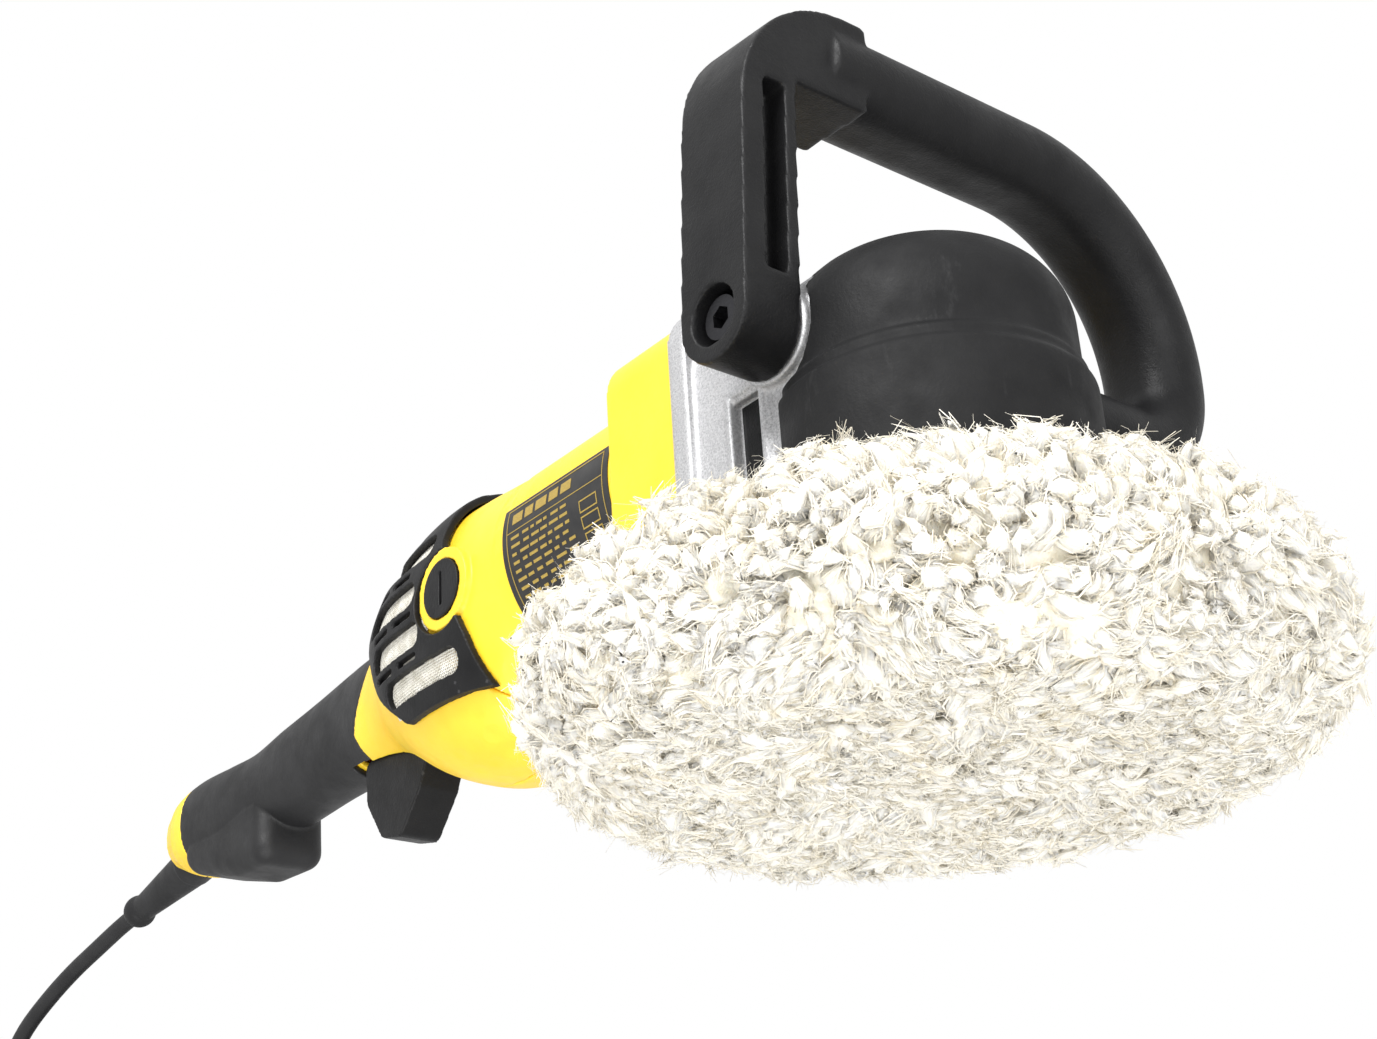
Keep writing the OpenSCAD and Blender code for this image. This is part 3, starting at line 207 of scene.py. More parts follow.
def add_bump(tree, shader, layers):
    """Bump from several heights: (value, distance in metres, strength)."""
    normal = None
    for value, distance, strength in layers:
        node = tree.nodes.new("ShaderNodeBump")
        node.inputs["Distance"].default_value = distance
        node.inputs["Strength"].default_value = strength
        tree.links.new(value, node.inputs["Height"])
        if normal:
            tree.links.new(normal, node.inputs["Normal"])
        normal = node.outputs["Normal"]
    tree.links.new(normal, shader.inputs["Normal"])


def wear(tree):
    """One along raised edges, from the mesh's own curvature."""
    geometry = tree.nodes.new("ShaderNodeNewGeometry")
    return span(tree, geometry.outputs["Pointiness"], 0.53, 0.6, 0.0, 1.0)


def moulded_plastic(name, dark, light, rough, grain, depth, edge=None, **sockets):
    """Moulded plastic or rubber: mottled colour, fine grain, and paler worn edges."""
    material, tree, shader = start_material(name, light, sum(rough) / 2, **sockets)
    mottle = noise(tree, 45, 6)
    colour = ramp(tree, mottle, [(0.3, dark), (0.7, light)])
    if edge:
        colour = mix_colour(tree, wear(tree), colour, edge)
    tree.links.new(colour, shader.inputs["Base Color"])
    patches = noise(tree, 110, 5, 0.6)
    tree.links.new(span(tree, patches, 0.3, 0.7, *rough), shader.inputs["Roughness"])
    add_bump(tree, shader, [(noise(tree, grain, 3), depth, 0.5),
                            (noise(tree, grain * 0.22, 3), depth * 2, 0.25)])
    return material


def scuffed_rubber():
    """Soft cover: matt, with pale rub marks and small nicks."""
    material, tree, shader = start_material("cover_rubber", (0.01, 0.01, 0.011), 0.6,
                                            Specular_IOR_Level=0.2)
    base = ramp(tree, noise(tree, 38, 7), [(0.3, (0.005, 0.005, 0.0055)),
                                           (0.75, (0.014, 0.014, 0.0145))])
    rubs = span(tree, noise(tree, 95, 9, 0.72, (1.0, 1.0, 0.35)), 0.6, 0.78, 0.0, 0.55)
    tree.links.new(mix_colour(tree, rubs, base, (0.05, 0.05, 0.051)),
                   shader.inputs["Base Color"])
    tree.links.new(span(tree, noise(tree, 70, 6), 0.3, 0.7, 0.48, 0.74),
                   shader.inputs["Roughness"])
    add_bump(tree, shader, [(noise(tree, 900, 4, 0.7), 0.00025, 0.5),
                            (noise(tree, 120, 6, 0.7), 0.0006, 0.3)])
    return material


def cast_metal():
    """Sand cast aluminium with a bead-blasted speckle."""
    material, tree, shader = start_material("cast_metal", (0.6, 0.6, 0.61), 0.45, Metallic=0.85)
    speck = noise(tree, 1500, 5, 0.75)
    base = ramp(tree, speck, [(0.32, (0.34, 0.34, 0.35)), (0.5, (0.62, 0.62, 0.63)),
                              (0.7, (0.86, 0.86, 0.86))])
    stain = span(tree, noise(tree, 60, 6), 0.35, 0.75, 0.0, 0.35)
    tree.links.new(mix_colour(tree, stain, base, (0.5, 0.5, 0.51)), shader.inputs["Base Color"])
    tree.links.new(span(tree, speck, 0.3, 0.7, 0.62, 0.36), shader.inputs["Roughness"])
    add_bump(tree, shader, [(speck, 0.0004, 0.55), (noise(tree, 300, 5), 0.0008, 0.3)])
    return material


def machined_steel(name="machined_steel", tint=(0.52, 0.53, 0.55), rough=(0.22, 0.42)):
    """Turned or rolled metal with fine lines, in the tint of the metal."""
    material, tree, shader = start_material(name, tint, 0.3, Metallic=1.0)
    lines = noise(tree, 900, 3, 0.5, (1.0, 1.0, 6.0))
    dark = tuple(c * 0.72 for c in tint)
    tree.links.new(ramp(tree, lines, [(0.3, dark), (0.7, tint)]), shader.inputs["Base Color"])
    tree.links.new(span(tree, lines, 0.3, 0.7, *rough), shader.inputs["Roughness"])
    add_bump(tree, shader, [(lines, 0.0001, 0.35)])
    return material


def wool_fibre(name, shade, tip, streak, soft=0.6):
    """Cream lambswool: warmer in patches, with fine streaks; soft is the glow of its depth."""
    material, tree, shader = start_material(
        name, tip, 0.9, Specular_IOR_Level=0.12, Sheen_Weight=0.35, Sheen_Roughness=0.5,
        Subsurface_Weight=soft, Subsurface_Scale=0.006)
    shader.inputs["Subsurface Radius"].default_value = (1.0, 0.9, 0.75)
    shader.inputs["Sheen Tint"].default_value = (1.0, 0.99, 0.95, 1)
    fine = noise(tree, 160, 5, 0.6)
    broad = noise(tree, 34, 4, 0.6)
    colour = mix_colour(tree, span(tree, broad, 0.35, 0.7, 0.0, 0.6),
                        ramp(tree, fine, [(0.3, shade), (0.55, tip)]), tip)
    tree.links.new(colour, shader.inputs["Base Color"])
    add_bump(tree, shader, [(noise(tree, streak, 5, 0.7, (1.0, 1.0, 0.4)), 0.0008, 0.7),
                            (noise(tree, streak * 3.2, 4, 0.7, (0.5, 1.0, 1.0)), 0.0004, 0.6)])
    return material


def woven_thread():
    """Cream polyester thread of the dust screens."""
    material, tree, shader = start_material("screen_thread", (0.8, 0.77, 0.68), 0.55,
                                            Sheen_Weight=0.2, Specular_IOR_Level=0.45)
    tree.links.new(ramp(tree, noise(tree, 260, 4), [(0.3, (0.60, 0.57, 0.48)),
                                                    (0.65, (0.88, 0.86, 0.79))]),
                   shader.inputs["Base Color"])
    add_bump(tree, shader, [(noise(tree, 5200, 3), 0.0002, 0.5)])
    return material


def printed_film():
    """Black film of the rating label, slightly mottled."""
    material, tree, shader = start_material("label_film", (0.015, 0.015, 0.016), 0.4)
    tree.links.new(ramp(tree, noise(tree, 150, 5), [(0.3, (0.010, 0.010, 0.011)),
                                                    (0.7, (0.024, 0.023, 0.022))]),
                   shader.inputs["Base Color"])
    tree.links.new(span(tree, noise(tree, 90, 6), 0.3, 0.7, 0.28, 0.5),
                   shader.inputs["Roughness"])
    add_bump(tree, shader, [(noise(tree, 2600, 3), 0.00006, 0.35)])
    return material


YELLOW_DARK, YELLOW_LIGHT = (0.92, 0.58, 0.022), (0.97, 0.66, 0.04)
BLACK_DARK, BLACK_LIGHT = (0.005, 0.005, 0.0055), (0.012, 0.012, 0.0125)
paint = {
    "yellow": moulded_plastic("yellow_plastic", YELLOW_DARK, YELLOW_LIGHT, (0.36, 0.5), 2600,
                              0.00012, (1.0, 0.74, 0.06), Specular_IOR_Level=0.45,
                              Coat_Weight=0.12, Coat_Roughness=0.35, Subsurface_Weight=0.08,
                              Subsurface_Scale=0.002),
    # Black plastic, also used as painted shade on the bottoms of the gear case's vents
    "black": moulded_plastic("black_plastic", BLACK_DARK, BLACK_LIGHT, (0.36, 0.52), 1700,
                             0.0003, (0.035, 0.035, 0.036), Specular_IOR_Level=0.22),
    "shield": moulded_plastic("shield_plastic", BLACK_DARK, BLACK_LIGHT, (0.4, 0.56), 2300,
                              0.0002, (0.04, 0.04, 0.042), Specular_IOR_Level=0.22),
    "grip": moulded_plastic("grip_rubber", (0.008, 0.008, 0.0085), (0.018, 0.018, 0.019),
                            (0.42, 0.6), 2100, 0.0002, (0.045, 0.045, 0.047),
                            Specular_IOR_Level=0.35),
    "cord": moulded_plastic("cord_rubber", (0.006, 0.006, 0.0065), (0.015, 0.015, 0.016),
                            (0.45, 0.62), 2400, 0.00015, Specular_IOR_Level=0.35),
    "cover": scuffed_rubber(),
    "cast": cast_metal(),
    "steel": machined_steel(),
    "screw": machined_steel("blackened_steel", (0.06, 0.06, 0.065), (0.35, 0.5)),
    "brass": machined_steel("brass", (0.68, 0.50, 0.22)),
    "copper": machined_steel("lacquered_copper", (0.70, 0.34, 0.15), (0.3, 0.5)),
    "iron": machined_steel("laminated_iron", (0.30, 0.30, 0.31), (0.4, 0.6)),
    "carbon": moulded_plastic("carbon_block", (0.018, 0.018, 0.02), (0.045, 0.045, 0.05),
                              (0.5, 0.7), 3000, 0.0002),
    "module": moulded_plastic("potted_module", (0.012, 0.014, 0.02), (0.03, 0.034, 0.045),
                              (0.3, 0.5), 1500, 0.0002),
    "film": printed_film(),
    "gold": machined_steel("gold_print", (0.80, 0.58, 0.16), (0.35, 0.5)),
    "thread": woven_thread(),
    "wool": wool_fibre("wool_lock", (0.93, 0.85, 0.68), (0.975, 0.94, 0.86), 900),
    "strand": wool_fibre("wool_strand", (0.94, 0.86, 0.68), (0.98, 0.94, 0.84), 1500, 0.0),
    "nap": wool_fibre("wool_nap", (0.90, 0.80, 0.60), (0.96, 0.90, 0.77), 700),
}


# ---------- mesh helpers ----------

def make_object(name, mesh, finish, body):
    """A new piece of one finish that rides on a body."""
    piece = bpy.data.objects.new(name, mesh)
    bpy.context.collection.objects.link(piece)
    mesh.materials.clear()
    mesh.materials.append(finish)
    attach(piece, body)
    return piece


def mesh_from(name, points, quads):
    """A smooth mesh from arrays of points and four-sided faces."""
    mesh = bpy.data.meshes.new(name)
    points, quads = np.asarray(points, dtype=np.float32), np.asarray(quads, dtype=np.int32)
    mesh.vertices.add(len(points))
    mesh.vertices.foreach_set("co", points.ravel())
    mesh.loops.add(quads.size)
    mesh.loops.foreach_set("vertex_index", quads.ravel())
    mesh.polygons.add(len(quads))
    mesh.polygons.foreach_set("loop_start", np.arange(0, quads.size, 4, dtype=np.int32))
    mesh.update(calc_edges=True)
    mesh.polygons.foreach_set("use_smooth", np.ones(len(quads), dtype=bool))
    mesh.validate()
    return mesh


def tube_quads(count, rings, sides):
    """Faces of many open tubes that lie one after another, rings by sides points each."""
    ring, side = np.meshgrid(np.arange(rings - 1), np.arange(sides), indexing="ij")
    a = ring * sides + side
    b = ring * sides + (side + 1) % sides
    one = np.stack([a, b, b + sides, a + sides], axis=-1).reshape(-1, 4)
    return (one[None] + (np.arange(count) * rings * sides)[:, None, None]).reshape(-1, 4)


def tubes(paths, radii, sides, flute=0.0, twist=0.0):
    """Points of many tubes along paths (tubes, rings, 3), with optional twisted fluting."""
    along = np.gradient(paths, axis=1)
    along /= np.linalg.norm(along, axis=2, keepdims=True) + 1e-12
    helper = np.array([0.31, 0.17, 0.93])
    across = np.cross(along, helper)
    across /= np.linalg.norm(across, axis=2, keepdims=True) + 1e-12
    other = np.cross(along, across)
    rings = paths.shape[1]
    angle = (np.arange(sides) * 2 * np.pi / sides)[None, :] + (
        np.linspace(0, twist, rings)[:, None])
    wave = 1 + flute * np.cos(np.arange(sides) * np.pi)[None, :]
    r = radii[:, :, None] * wave[None]
    return (paths[:, :, None] + r[..., None] * (
        np.cos(angle)[None, ..., None] * across[:, :, None]
        + np.sin(angle)[None, ..., None] * other[:, :, None])).reshape(-1, 3)


# ---------- the rear housing's form ----------

# Sections as in the CAD (mm): distance behind the brushes, top and bottom about the motor axis,
# half width, squareness
FORM_START = 26           # the form begins this far ahead of the brushes
FORM_END = 2              # and ends this far ahead of the tail
SECTIONS = np.array([
    (-33, 37.1, -37.1, 37.1, 2), (-18, 38, -50, 38.2, 2.1), (-3, 38, -58, 38.7, 2.3),
    (12, 37.5, -60, 38.7, 2.4), (27, 35, -58, 38, 2.4), (42, 30, -52, 36, 2.4),
    (57, 23, -43, 31, 2.4), (72, 17, -35, 24, 2.3), (87, 14, -32, 19.5, 2.3),
    (107, 13, -31, 17, 2.3), (137, 10, -31, 16, 2.2), (164, 7, -32, 16, 2.2),
    (186, 3.5, -33, 16.5, 2.2), (206, 3.5, -36, 18, 2.3), (228, 4, -35, 18.5, 2.4),
    (244, 2, -34, 18, 2.4), (256, -2, -30, 14.5, 2.4)])


def section(y):
    """Top, bottom, half width and squareness at heights of y, on the CAD's smooth curve."""
    d = np.clip((np.asarray(y) - brush_y) / MM, SECTIONS[0, 0], SECTIONS[-1, 0])
    last = len(SECTIONS) - 1
    i = np.clip(np.searchsorted(SECTIONS[:, 0], d, side="right") - 1, 0, last - 1)
    t = ((d - SECTIONS[i, 0]) / (SECTIONS[i + 1, 0] - SECTIONS[i, 0]))[:, None]
    a, b = SECTIONS[np.maximum(i - 1, 0), 1:], SECTIONS[i, 1:]
    c, e = SECTIONS[i + 1, 1:], SECTIONS[np.minimum(i + 2, last), 1:]
    return b + 0.5 * t * (c - a + t * (2 * a - 5 * b + 4 * c - e + t * (3 * (b - c) + e - a)))


def settle_on_form(points, grow, start, end):
    """Moves points that lie close to the form, between two distances, onto it."""
    s = section(points[:, 1])
    top, low = s[:, 0] + grow, s[:, 1] - grow
    wide, power = s[:, 2] + grow, s[:, 3]
    x, z = points[:, 0] / MM, (points[:, 2] - axis_z) / MM - (top + low) / 2
    level = (np.abs(x / wide) ** power + np.abs(2 * z / (top - low)) ** power) ** (1 / power)
    radius = np.hypot(x, z)
    depth = (1 - 1 / np.maximum(level, 1e-6)) * radius
    weight = np.clip((depth + 0.62) / 0.25, 0, 1) * np.clip((0.4 - depth) / 0.2, 0, 1)
    weight *= (points[:, 1] > start) & (points[:, 1] < end)
    scale = 1 + weight * (1 / np.maximum(level, 1e-6) - 1)
    moved = points.copy()
    moved[:, 0] = x * scale * MM
    moved[:, 2] = axis_z + (z * scale + (top + low) / 2) * MM
    return moved


def moulded(node, voxel, finish, passes=3, grows=(), body="housing"):
    """A rounded, evenly meshed copy of a CAD node that stands for it; voxel is in mm."""
    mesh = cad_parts[node].data.copy()
    mesh.name = node + "_skin"
    piece = bpy.data.objects.new(node + "_skin", mesh)
    bpy.context.collection.objects.link(piece)
    shape = bmesh.new()
    shape.from_mesh(mesh)
    bmesh.ops.remove_doubles(shape, verts=shape.verts, dist=2e-6)
    shape.to_mesh(mesh)
    shape.free()
    remesh = piece.modifiers.new("remesh", "REMESH")
    remesh.mode = "VOXEL"
    remesh.voxel_size = voxel * MM
    remesh.use_smooth_shade = True
    relax = piece.modifiers.new("relax", "SMOOTH")
    relax.factor = 0.5
    relax.iterations = passes
    depsgraph = bpy.context.evaluated_depsgraph_get()
    made = bpy.data.meshes.new_from_object(piece.evaluated_get(depsgraph))
    bpy.data.objects.remove(piece)
    points = np.empty(len(made.vertices) * 3, dtype=np.float32)
    made.vertices.foreach_get("co", points)
    points = points.reshape(-1, 3).astype(float)
    for grow in grows:
        points = settle_on_form(points, grow, brush_y - FORM_START * MM,
                                tail_y - FORM_END * MM)
    made.vertices.foreach_set("co", points.ravel())
    made.update()
    made.polygons.foreach_set("use_smooth", np.ones(len(made.polygons), dtype=bool))
    piece = make_object(node + "_skin", made, finish, body)
    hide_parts(node)
    return piece


# ---------- lead ----------

# The lead's route as in the CAD (mm): down to the floor and to the coil, then coil to plug
CORD_ROUTE = [
    (0, 493, 87), (0, 508, 85), (0, 530, 81), (0, 556, 76), (0, 582, 69), (0, 606, 60),
    (2, 628, 49), (5, 648, 36), (10, 666, 22), (18, 682, 11), (30, 696, 5), (46, 705, 3.75),
    (64, 707, 3.75), (82, 701, 3.75), (97, 689, 3.75), (107, 671, 3.75), (111, 650, 3.75)]
LEAD_ROUTE = [(104, 634, 34), (110, 622, 33), (116, 610, 29), (121, 598, 22), (124, 585, 17),
              (126, 574, 15)]
LEAD_D = 7.5
COIL_IN = 22.5            # inner radius of the coil
COIL_STEPS = 24           # points a turn
COIL_COLUMNS = [3, 2, 1, 0, 0, 1, 2, 3, 3, 2, 1, 0, 0, 1, 2]


def coil_points():
    """Turns in layers: outside in, inside out, outside in, then three turns inside out."""
    low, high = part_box("cord_coil")
    centre = ((low + high) / 2) / MM
    points = []
    last = len(COIL_COLUMNS) - 1
    for turn, column in enumerate(COIL_COLUMNS):
        after = COIL_COLUMNS[min(turn + 1, last)]
        layer = turn // 4
        above = (turn + 1) // 4 if turn < last else layer + 0.9
        for step in range(COIL_STEPS):
            part = step / COIL_STEPS
            blend = max(0.0, (part - 0.75) / 0.25)
            blend = blend * blend * (3 - 2 * blend)
            radius = COIL_IN + LEAD_D * (0.5 + column + (after - column) * blend)
            height = LEAD_D * (0.5 + layer + (above - layer) * blend)
            angle = -2 * math.pi * part
            points.append((centre.x + radius * math.cos(angle),
                           centre.y + radius * math.sin(angle), height))
    return points


def smooth_route(points, cuts):
    """More points along a list, on a Catmull-Rom curve."""
    p = np.array([points[0], *points, points[-1]], dtype=float)
    out = []
    for a, b, c, d in zip(p, p[1:], p[2:], p[3:]):
        for t in np.arange(cuts) / cuts:
            out.append(b + 0.5 * t * (c - a + t * (2 * a - 5 * b + 4 * c - d
                                                   + t * (3 * (b - c) + d - a))))
    return np.array(out + [p[-1]])


def make_lead():
    route = smooth_route(CORD_ROUTE + coil_points() + LEAD_ROUTE, 4) * MM
    curve = bpy.data.curves.new("mains_lead", "CURVE")
    curve.dimensions = "3D"
    curve.bevel_depth = LEAD_D / 2 * MM
    curve.bevel_resolution = 4
    curve.use_fill_caps = True
    spline = curve.splines.new("POLY")
    spline.points.add(len(route) - 1)
    spline.points.foreach_set("co", np.c_[route, np.ones(len(route))].ravel())
    spline.use_smooth = True
    lead = make_object("mains_lead", curve, paint["cord"], "housing")
    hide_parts("power_cord", "cord_coil", "plug_lead")
    plug = moulded("mains_plug", 0.6, paint["cord"])
    tie = moulded("cord_tie", 0.5, paint["grip"])
    moulded("strain_relief", 0.5, paint["cord"])


# ---------- wool pad ----------

FLEECE = 9.0              # depth of the locks, mm
PAD_CURVE = 26.0          # radius of the pad's rounded rim
HUB_GAP = 52.0            # width of the pad's upper side that the well leaves out
WELL_DEPTHS = (6, 14, 22, 27)
MAT_LOW = 1.2             # lowest height of the matted wool
STRANDS = 11              # ribbon strands over each lock


def pad_surface(s, angle, shrink):
    """Point and outward normal on the pad's outline, s from 0 at the face's centre to 1."""
    radius = pad_high.x / MM - shrink
    high = pad_high.z / MM - shrink
    low = pad_low.z / MM + shrink
    curve = PAD_CURVE - shrink * 0.6
    flat = radius - curve
    side = high - low - 2 * curve
    quarter = curve * math.pi / 2
    top = flat - HUB_GAP
    d = s * (flat + quarter + side + quarter + top)
    r, z = np.zeros_like(d), np.zeros_like(d)
    nr, nz = np.zeros_like(d), np.zeros_like(d)
    edges = np.cumsum([0, flat, quarter, side, quarter, top])
    part = d < edges[1]
    r[part], z[part], nz[part] = d[part], low, -1
    part = (d >= edges[1]) & (d < edges[2])
    a = (d[part] - edges[1]) / curve
    r[part], z[part] = flat + curve * np.sin(a), low + curve * (1 - np.cos(a))
    nr[part], nz[part] = np.sin(a), -np.cos(a)
    part = (d >= edges[2]) & (d < edges[3])
    r[part], z[part], nr[part] = radius, low + curve + d[part] - edges[2], 1
    part = (d >= edges[3]) & (d < edges[4])
    a = (d[part] - edges[3]) / curve
    r[part], z[part] = flat + curve * np.cos(a), high - curve * (1 - np.sin(a))
    nr[part], nz[part] = np.cos(a), np.sin(a)
    part = d >= edges[4]
    r[part], z[part], nz[part] = flat - (d[part] - edges[4]), high, 1
    point = np.stack([r * np.cos(angle), r * np.sin(angle), z], axis=1)
    normal = np.stack([nr * np.cos(angle), nr * np.sin(angle), nz], axis=1)
    return point, normal


def bumps(points, scale, seed):
    """Cheap smooth noise from -1 to 1, a sum of sines in turned directions."""
    source = np.random.default_rng(seed)
    total = np.zeros(len(points))
    for octave in range(10):
        direction = source.normal(size=3)
        direction *= scale * (1 + octave * 0.22) / np.linalg.norm(direction)
        total += np.sin(points @ direction + source.uniform(0, 2 * np.pi))
    return total / 4.5


def scatter_on_pad(count, shrink):
    """Even random places on the pad, and its outward normals there."""
    s = random.uniform(0.0, 1.0, count * 4)
    angle = random.uniform(0, 2 * np.pi, count * 4)
    point, normal = pad_surface(s, angle, shrink)
    keep = random.uniform(0, 1, count * 4) < np.hypot(point[:, 0], point[:, 1]) / 110
    return point[keep][:count], normal[keep][:count]


def pad_base():
    """The matted wool under the locks, and the well round the hub."""
    rings, sides = 150, 300
    s = np.linspace(0.004, 1, rings)
    grid_s, grid_a = np.meshgrid(s, np.arange(sides) * 2 * np.pi / sides, indexing="ij")
    point, normal = pad_surface(grid_s.ravel(), grid_a.ravel(), FLEECE * 0.72)
    lift = 1.5 * bumps(point, 0.55, 3) + 1.0 * bumps(point, 1.3, 4)
    point = point + normal * lift[:, None]
    inner = point.reshape(rings, sides, 3)[-1].copy()
    well = []
    for depth in WELL_DEPTHS:
        ring = inner.copy()
        ring[:, :2] *= 1 - 0.02 * depth / WELL_DEPTHS[-1]
        ring[:, 2] = pad_high.z / MM - depth
        well.append(ring)
    point = np.concatenate([point, *well])
    quads = tube_quads(1, rings + len(well), sides)[:, ::-1]
    mesh = mesh_from("wool_mat", np.maximum(point, (-1e3, -1e3, MAT_LOW)) * MM, quads)
    piece = make_object("wool_mat", mesh, paint["nap"], "pad_drive")
    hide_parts("wool_pad")


def flow(point, normal, count):
    """Direction along the surface in which the locks lie: shared by neighbours, and loose."""
    aside = np.stack([bumps(point, 0.085, seed) for seed in (21, 22, 23)], axis=1)
    aside += random.normal(size=(count, 3)) * 0.45
    aside -= (aside * normal).sum(1, keepdims=True) * normal
    return aside / (np.linalg.norm(aside, axis=1, keepdims=True) + 1e-9)


def lock_paths(point, normal, length, lean, curl, rings):
    """Curled lines that start on the pad and lean over it."""
    count = len(point)
    aside = flow(point, normal, count)
    third = np.cross(normal, aside)
    t = np.linspace(0, 1, rings)[None, :, None]
    lean, curl = lean[:, None, None], curl[:, None, None]
    phase = random.uniform(0, 2 * np.pi, count)[:, None, None]
    turns = random.uniform(0.6, 1.5, count)[:, None, None]
    rise = np.sin(t * (np.pi / 2) * (1 - 0.2 * lean))
    path = (normal[:, None] * rise * (1 - 0.6 * lean) + aside[:, None] * t * lean
            + curl * t * (np.cos(phase + turns * t * 2 * np.pi) * aside[:, None]
                          + np.sin(phase + turns * t * 2 * np.pi) * third[:, None]))
    return point[:, None] + path * length[:, None, None]


def ribbons(paths, half_width):
    """Flat strands along paths, turned at random, as points and faces."""
    count, rings = paths.shape[:2]
    along = np.gradient(paths, axis=1)
    turned = random.normal(size=(count, 1, 3))
    across = np.cross(along, turned)
    across /= np.linalg.norm(across, axis=2, keepdims=True) + 1e-12
    step = across * half_width[:, :, None]
    points = np.stack([paths - step, paths + step], axis=2).reshape(-1, 3)
    k = np.arange(rings - 1) * 2
    one = np.stack([k, k + 1, k + 3, k + 2], axis=1)
    return points, (one[None] + (np.arange(count) * rings * 2)[:, None, None]).reshape(-1, 4)


def pad_locks():
    """Curly locks, fuller on the rim and flattened on the face, with strands over them."""
    count, rings, sides = 5600, 7, 6
    point, normal = scatter_on_pad(count, FLEECE * 0.95)
    count = len(point)
    face = np.clip(-normal[:, 2], 0, 1)
    clump = bumps(point, 0.13, 8)
    length = random.uniform(9.0, 14.5, count) * (1 + 0.22 * clump) * (1 - 0.1 * face)
    lean = np.clip(random.uniform(0.25, 0.7, count) + 0.42 * face, 0, 1)
    curl = random.uniform(0.05, 0.2, count)
    paths = lock_paths(point, normal, length, lean, curl, rings)
    paths[..., 2] = np.maximum(paths[..., 2], 2.2)
    profile = np.array([0.85, 1.0, 1.0, 0.9, 0.72, 0.44, 0.1])
    width = random.uniform(1.9, 3.5, count) * (1 - 0.1 * face)
    radii = width[:, None] * profile[None]
    solid = tubes(paths, radii, sides, flute=0.1, twist=1.6)
    solid[:, 2] = np.maximum(solid[:, 2], 0.25)
    mesh = mesh_from("wool_locks", solid * MM, tube_quads(count, rings, sides))
    make_object("wool_locks", mesh, paint["wool"], "pad_drive")

    over = tubes(paths, radii * 1.1 + 0.1, STRANDS, twist=1.6)
    over = over.reshape(count, rings, STRANDS, 3).transpose(0, 2, 1, 3)
    over = over.reshape(count * STRANDS, rings, 3)
    over = over + random.normal(size=over.shape) * 0.42
    loose = random.uniform(0, 1, (len(over), 1)) ** 3
    tip = over[:, -1] - over[:, -3]
    over[:, -1] += tip * (0.25 + 0.6 * loose) + random.normal(size=tip.shape) * loose * 1.2
    over[:, -2] += tip * 0.3 * loose
    over[..., 2] = np.maximum(over[..., 2], 0.2)
    half = random.uniform(0.2, 0.42, (len(over), 1)) * np.linspace(1, 0.3, rings)[None]
    points, quads = ribbons(over, half)
    mesh = mesh_from("wool_strands", points * MM, quads)
    make_object("wool_strands", mesh, paint["strand"], "pad_drive")


def pad_hairs():
    """Loose fine fibres that stand out of the locks and soften the edge."""
    count, rings, sides = 5200, 6, 3
    point, normal = scatter_on_pad(count, FLEECE * 0.4)
    count = len(point)
    face = np.clip(-normal[:, 2], 0, 1)
    length = random.uniform(4.0, 8.5, count) * (1 - 0.3 * face)
    lean = np.clip(random.uniform(0.3, 0.9, count) + 0.3 * face, 0, 1.0)
    paths = lock_paths(point, normal, length, lean, random.uniform(0.1, 0.35, count), rings)
    paths[..., 2] = np.maximum(paths[..., 2], 0.3)
    thin = random.uniform(0.05, 0.09, count)[:, None] * np.linspace(1, 0.4, rings)[None]
    points = tubes(paths, thin, sides)
    mesh = mesh_from("wool_hairs", points * MM, tube_quads(count, rings, sides))
    make_object("wool_hairs", mesh, paint["strand"], "pad_drive")


# ---------- dust screens ----------

# Openings of the intake shields, as in the CAD: first and last y behind the brushes, height
# about the motor axis, width of the slot (mm)
RIB_PITCH = 15.5
WINDOWS = [(start, end, -30 + i * RIB_PITCH, 9)
           for i, (start, end) in enumerate([(-7, 39), (13, 49), (16, 56), (8, 60)])]
DASHES = [(15 + 3 * i + 17 * j, 28 + 3 * i + 17 * j, -22.2 + i * RIB_PITCH, 2.2)
          for i in range(4) for j in range(2)]


def on_form(y, z, grow):
    """Points on the form's side at some y and height, grown by some millimetres."""
    s = section(y)
    top, low = s[:, 0] + grow, s[:, 1] - grow
    level = np.abs(2 * (z - (top + low) / 2) / (top - low))
    x = (s[:, 2] + grow) * np.maximum(1 - level ** s[:, 3], 0) ** (1 / s[:, 3])
    return np.stack([x, y / MM, axis_z / MM + z], axis=1)


def dust_screen(side):
    """Woven screen behind a shield's openings: threads pass over and under each other."""
    pitch, thread, rise, border = 0.95, 0.27, 0.16, 1.6
    sign = 1 if side == "left" else -1
    points, quads, start = [], [], 0
    for y0, y1, height, wide in WINDOWS + DASHES:
        ys = np.arange(y0 - border, y1 + border, pitch)
        zs = np.arange(height - wide / 2 - border, height + wide / 2 + border, pitch)
        for lines, others, lengthwise in ((zs, ys, True), (ys, zs, False)):
            along = np.arange(others[0], others[-1], pitch / 2)
            paths = []
            for i, line in enumerate(lines):
                y = along if lengthwise else np.full(len(along), line)
                z = np.full(len(along), line) if lengthwise else along
                y = brush_y + y * MM
                lift = np.cos(np.pi * np.arange(len(along)) / 2
                              + np.pi * ((i + lengthwise) % 2)) * rise
                flat = on_form(y, z, 0.5)
                paths.append(flat + (on_form(y, z, 1.5) - flat) * lift[:, None])
            paths = np.array(paths)
            paths[..., 0] *= sign
            made = tubes(paths, np.full(paths.shape[:2], thread), 4)
            points.append(made)
            quads.append(tube_quads(len(paths), paths.shape[1], 4) + start)
            start += len(made)
    mesh = mesh_from("dust_screen_" + side, np.concatenate(points) * MM,
                     np.concatenate(quads))
    piece = make_object("dust_screen_" + side, mesh, paint["thread"], "housing")
    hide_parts("dust_mesh_" + side)


# ---------- rating label ----------

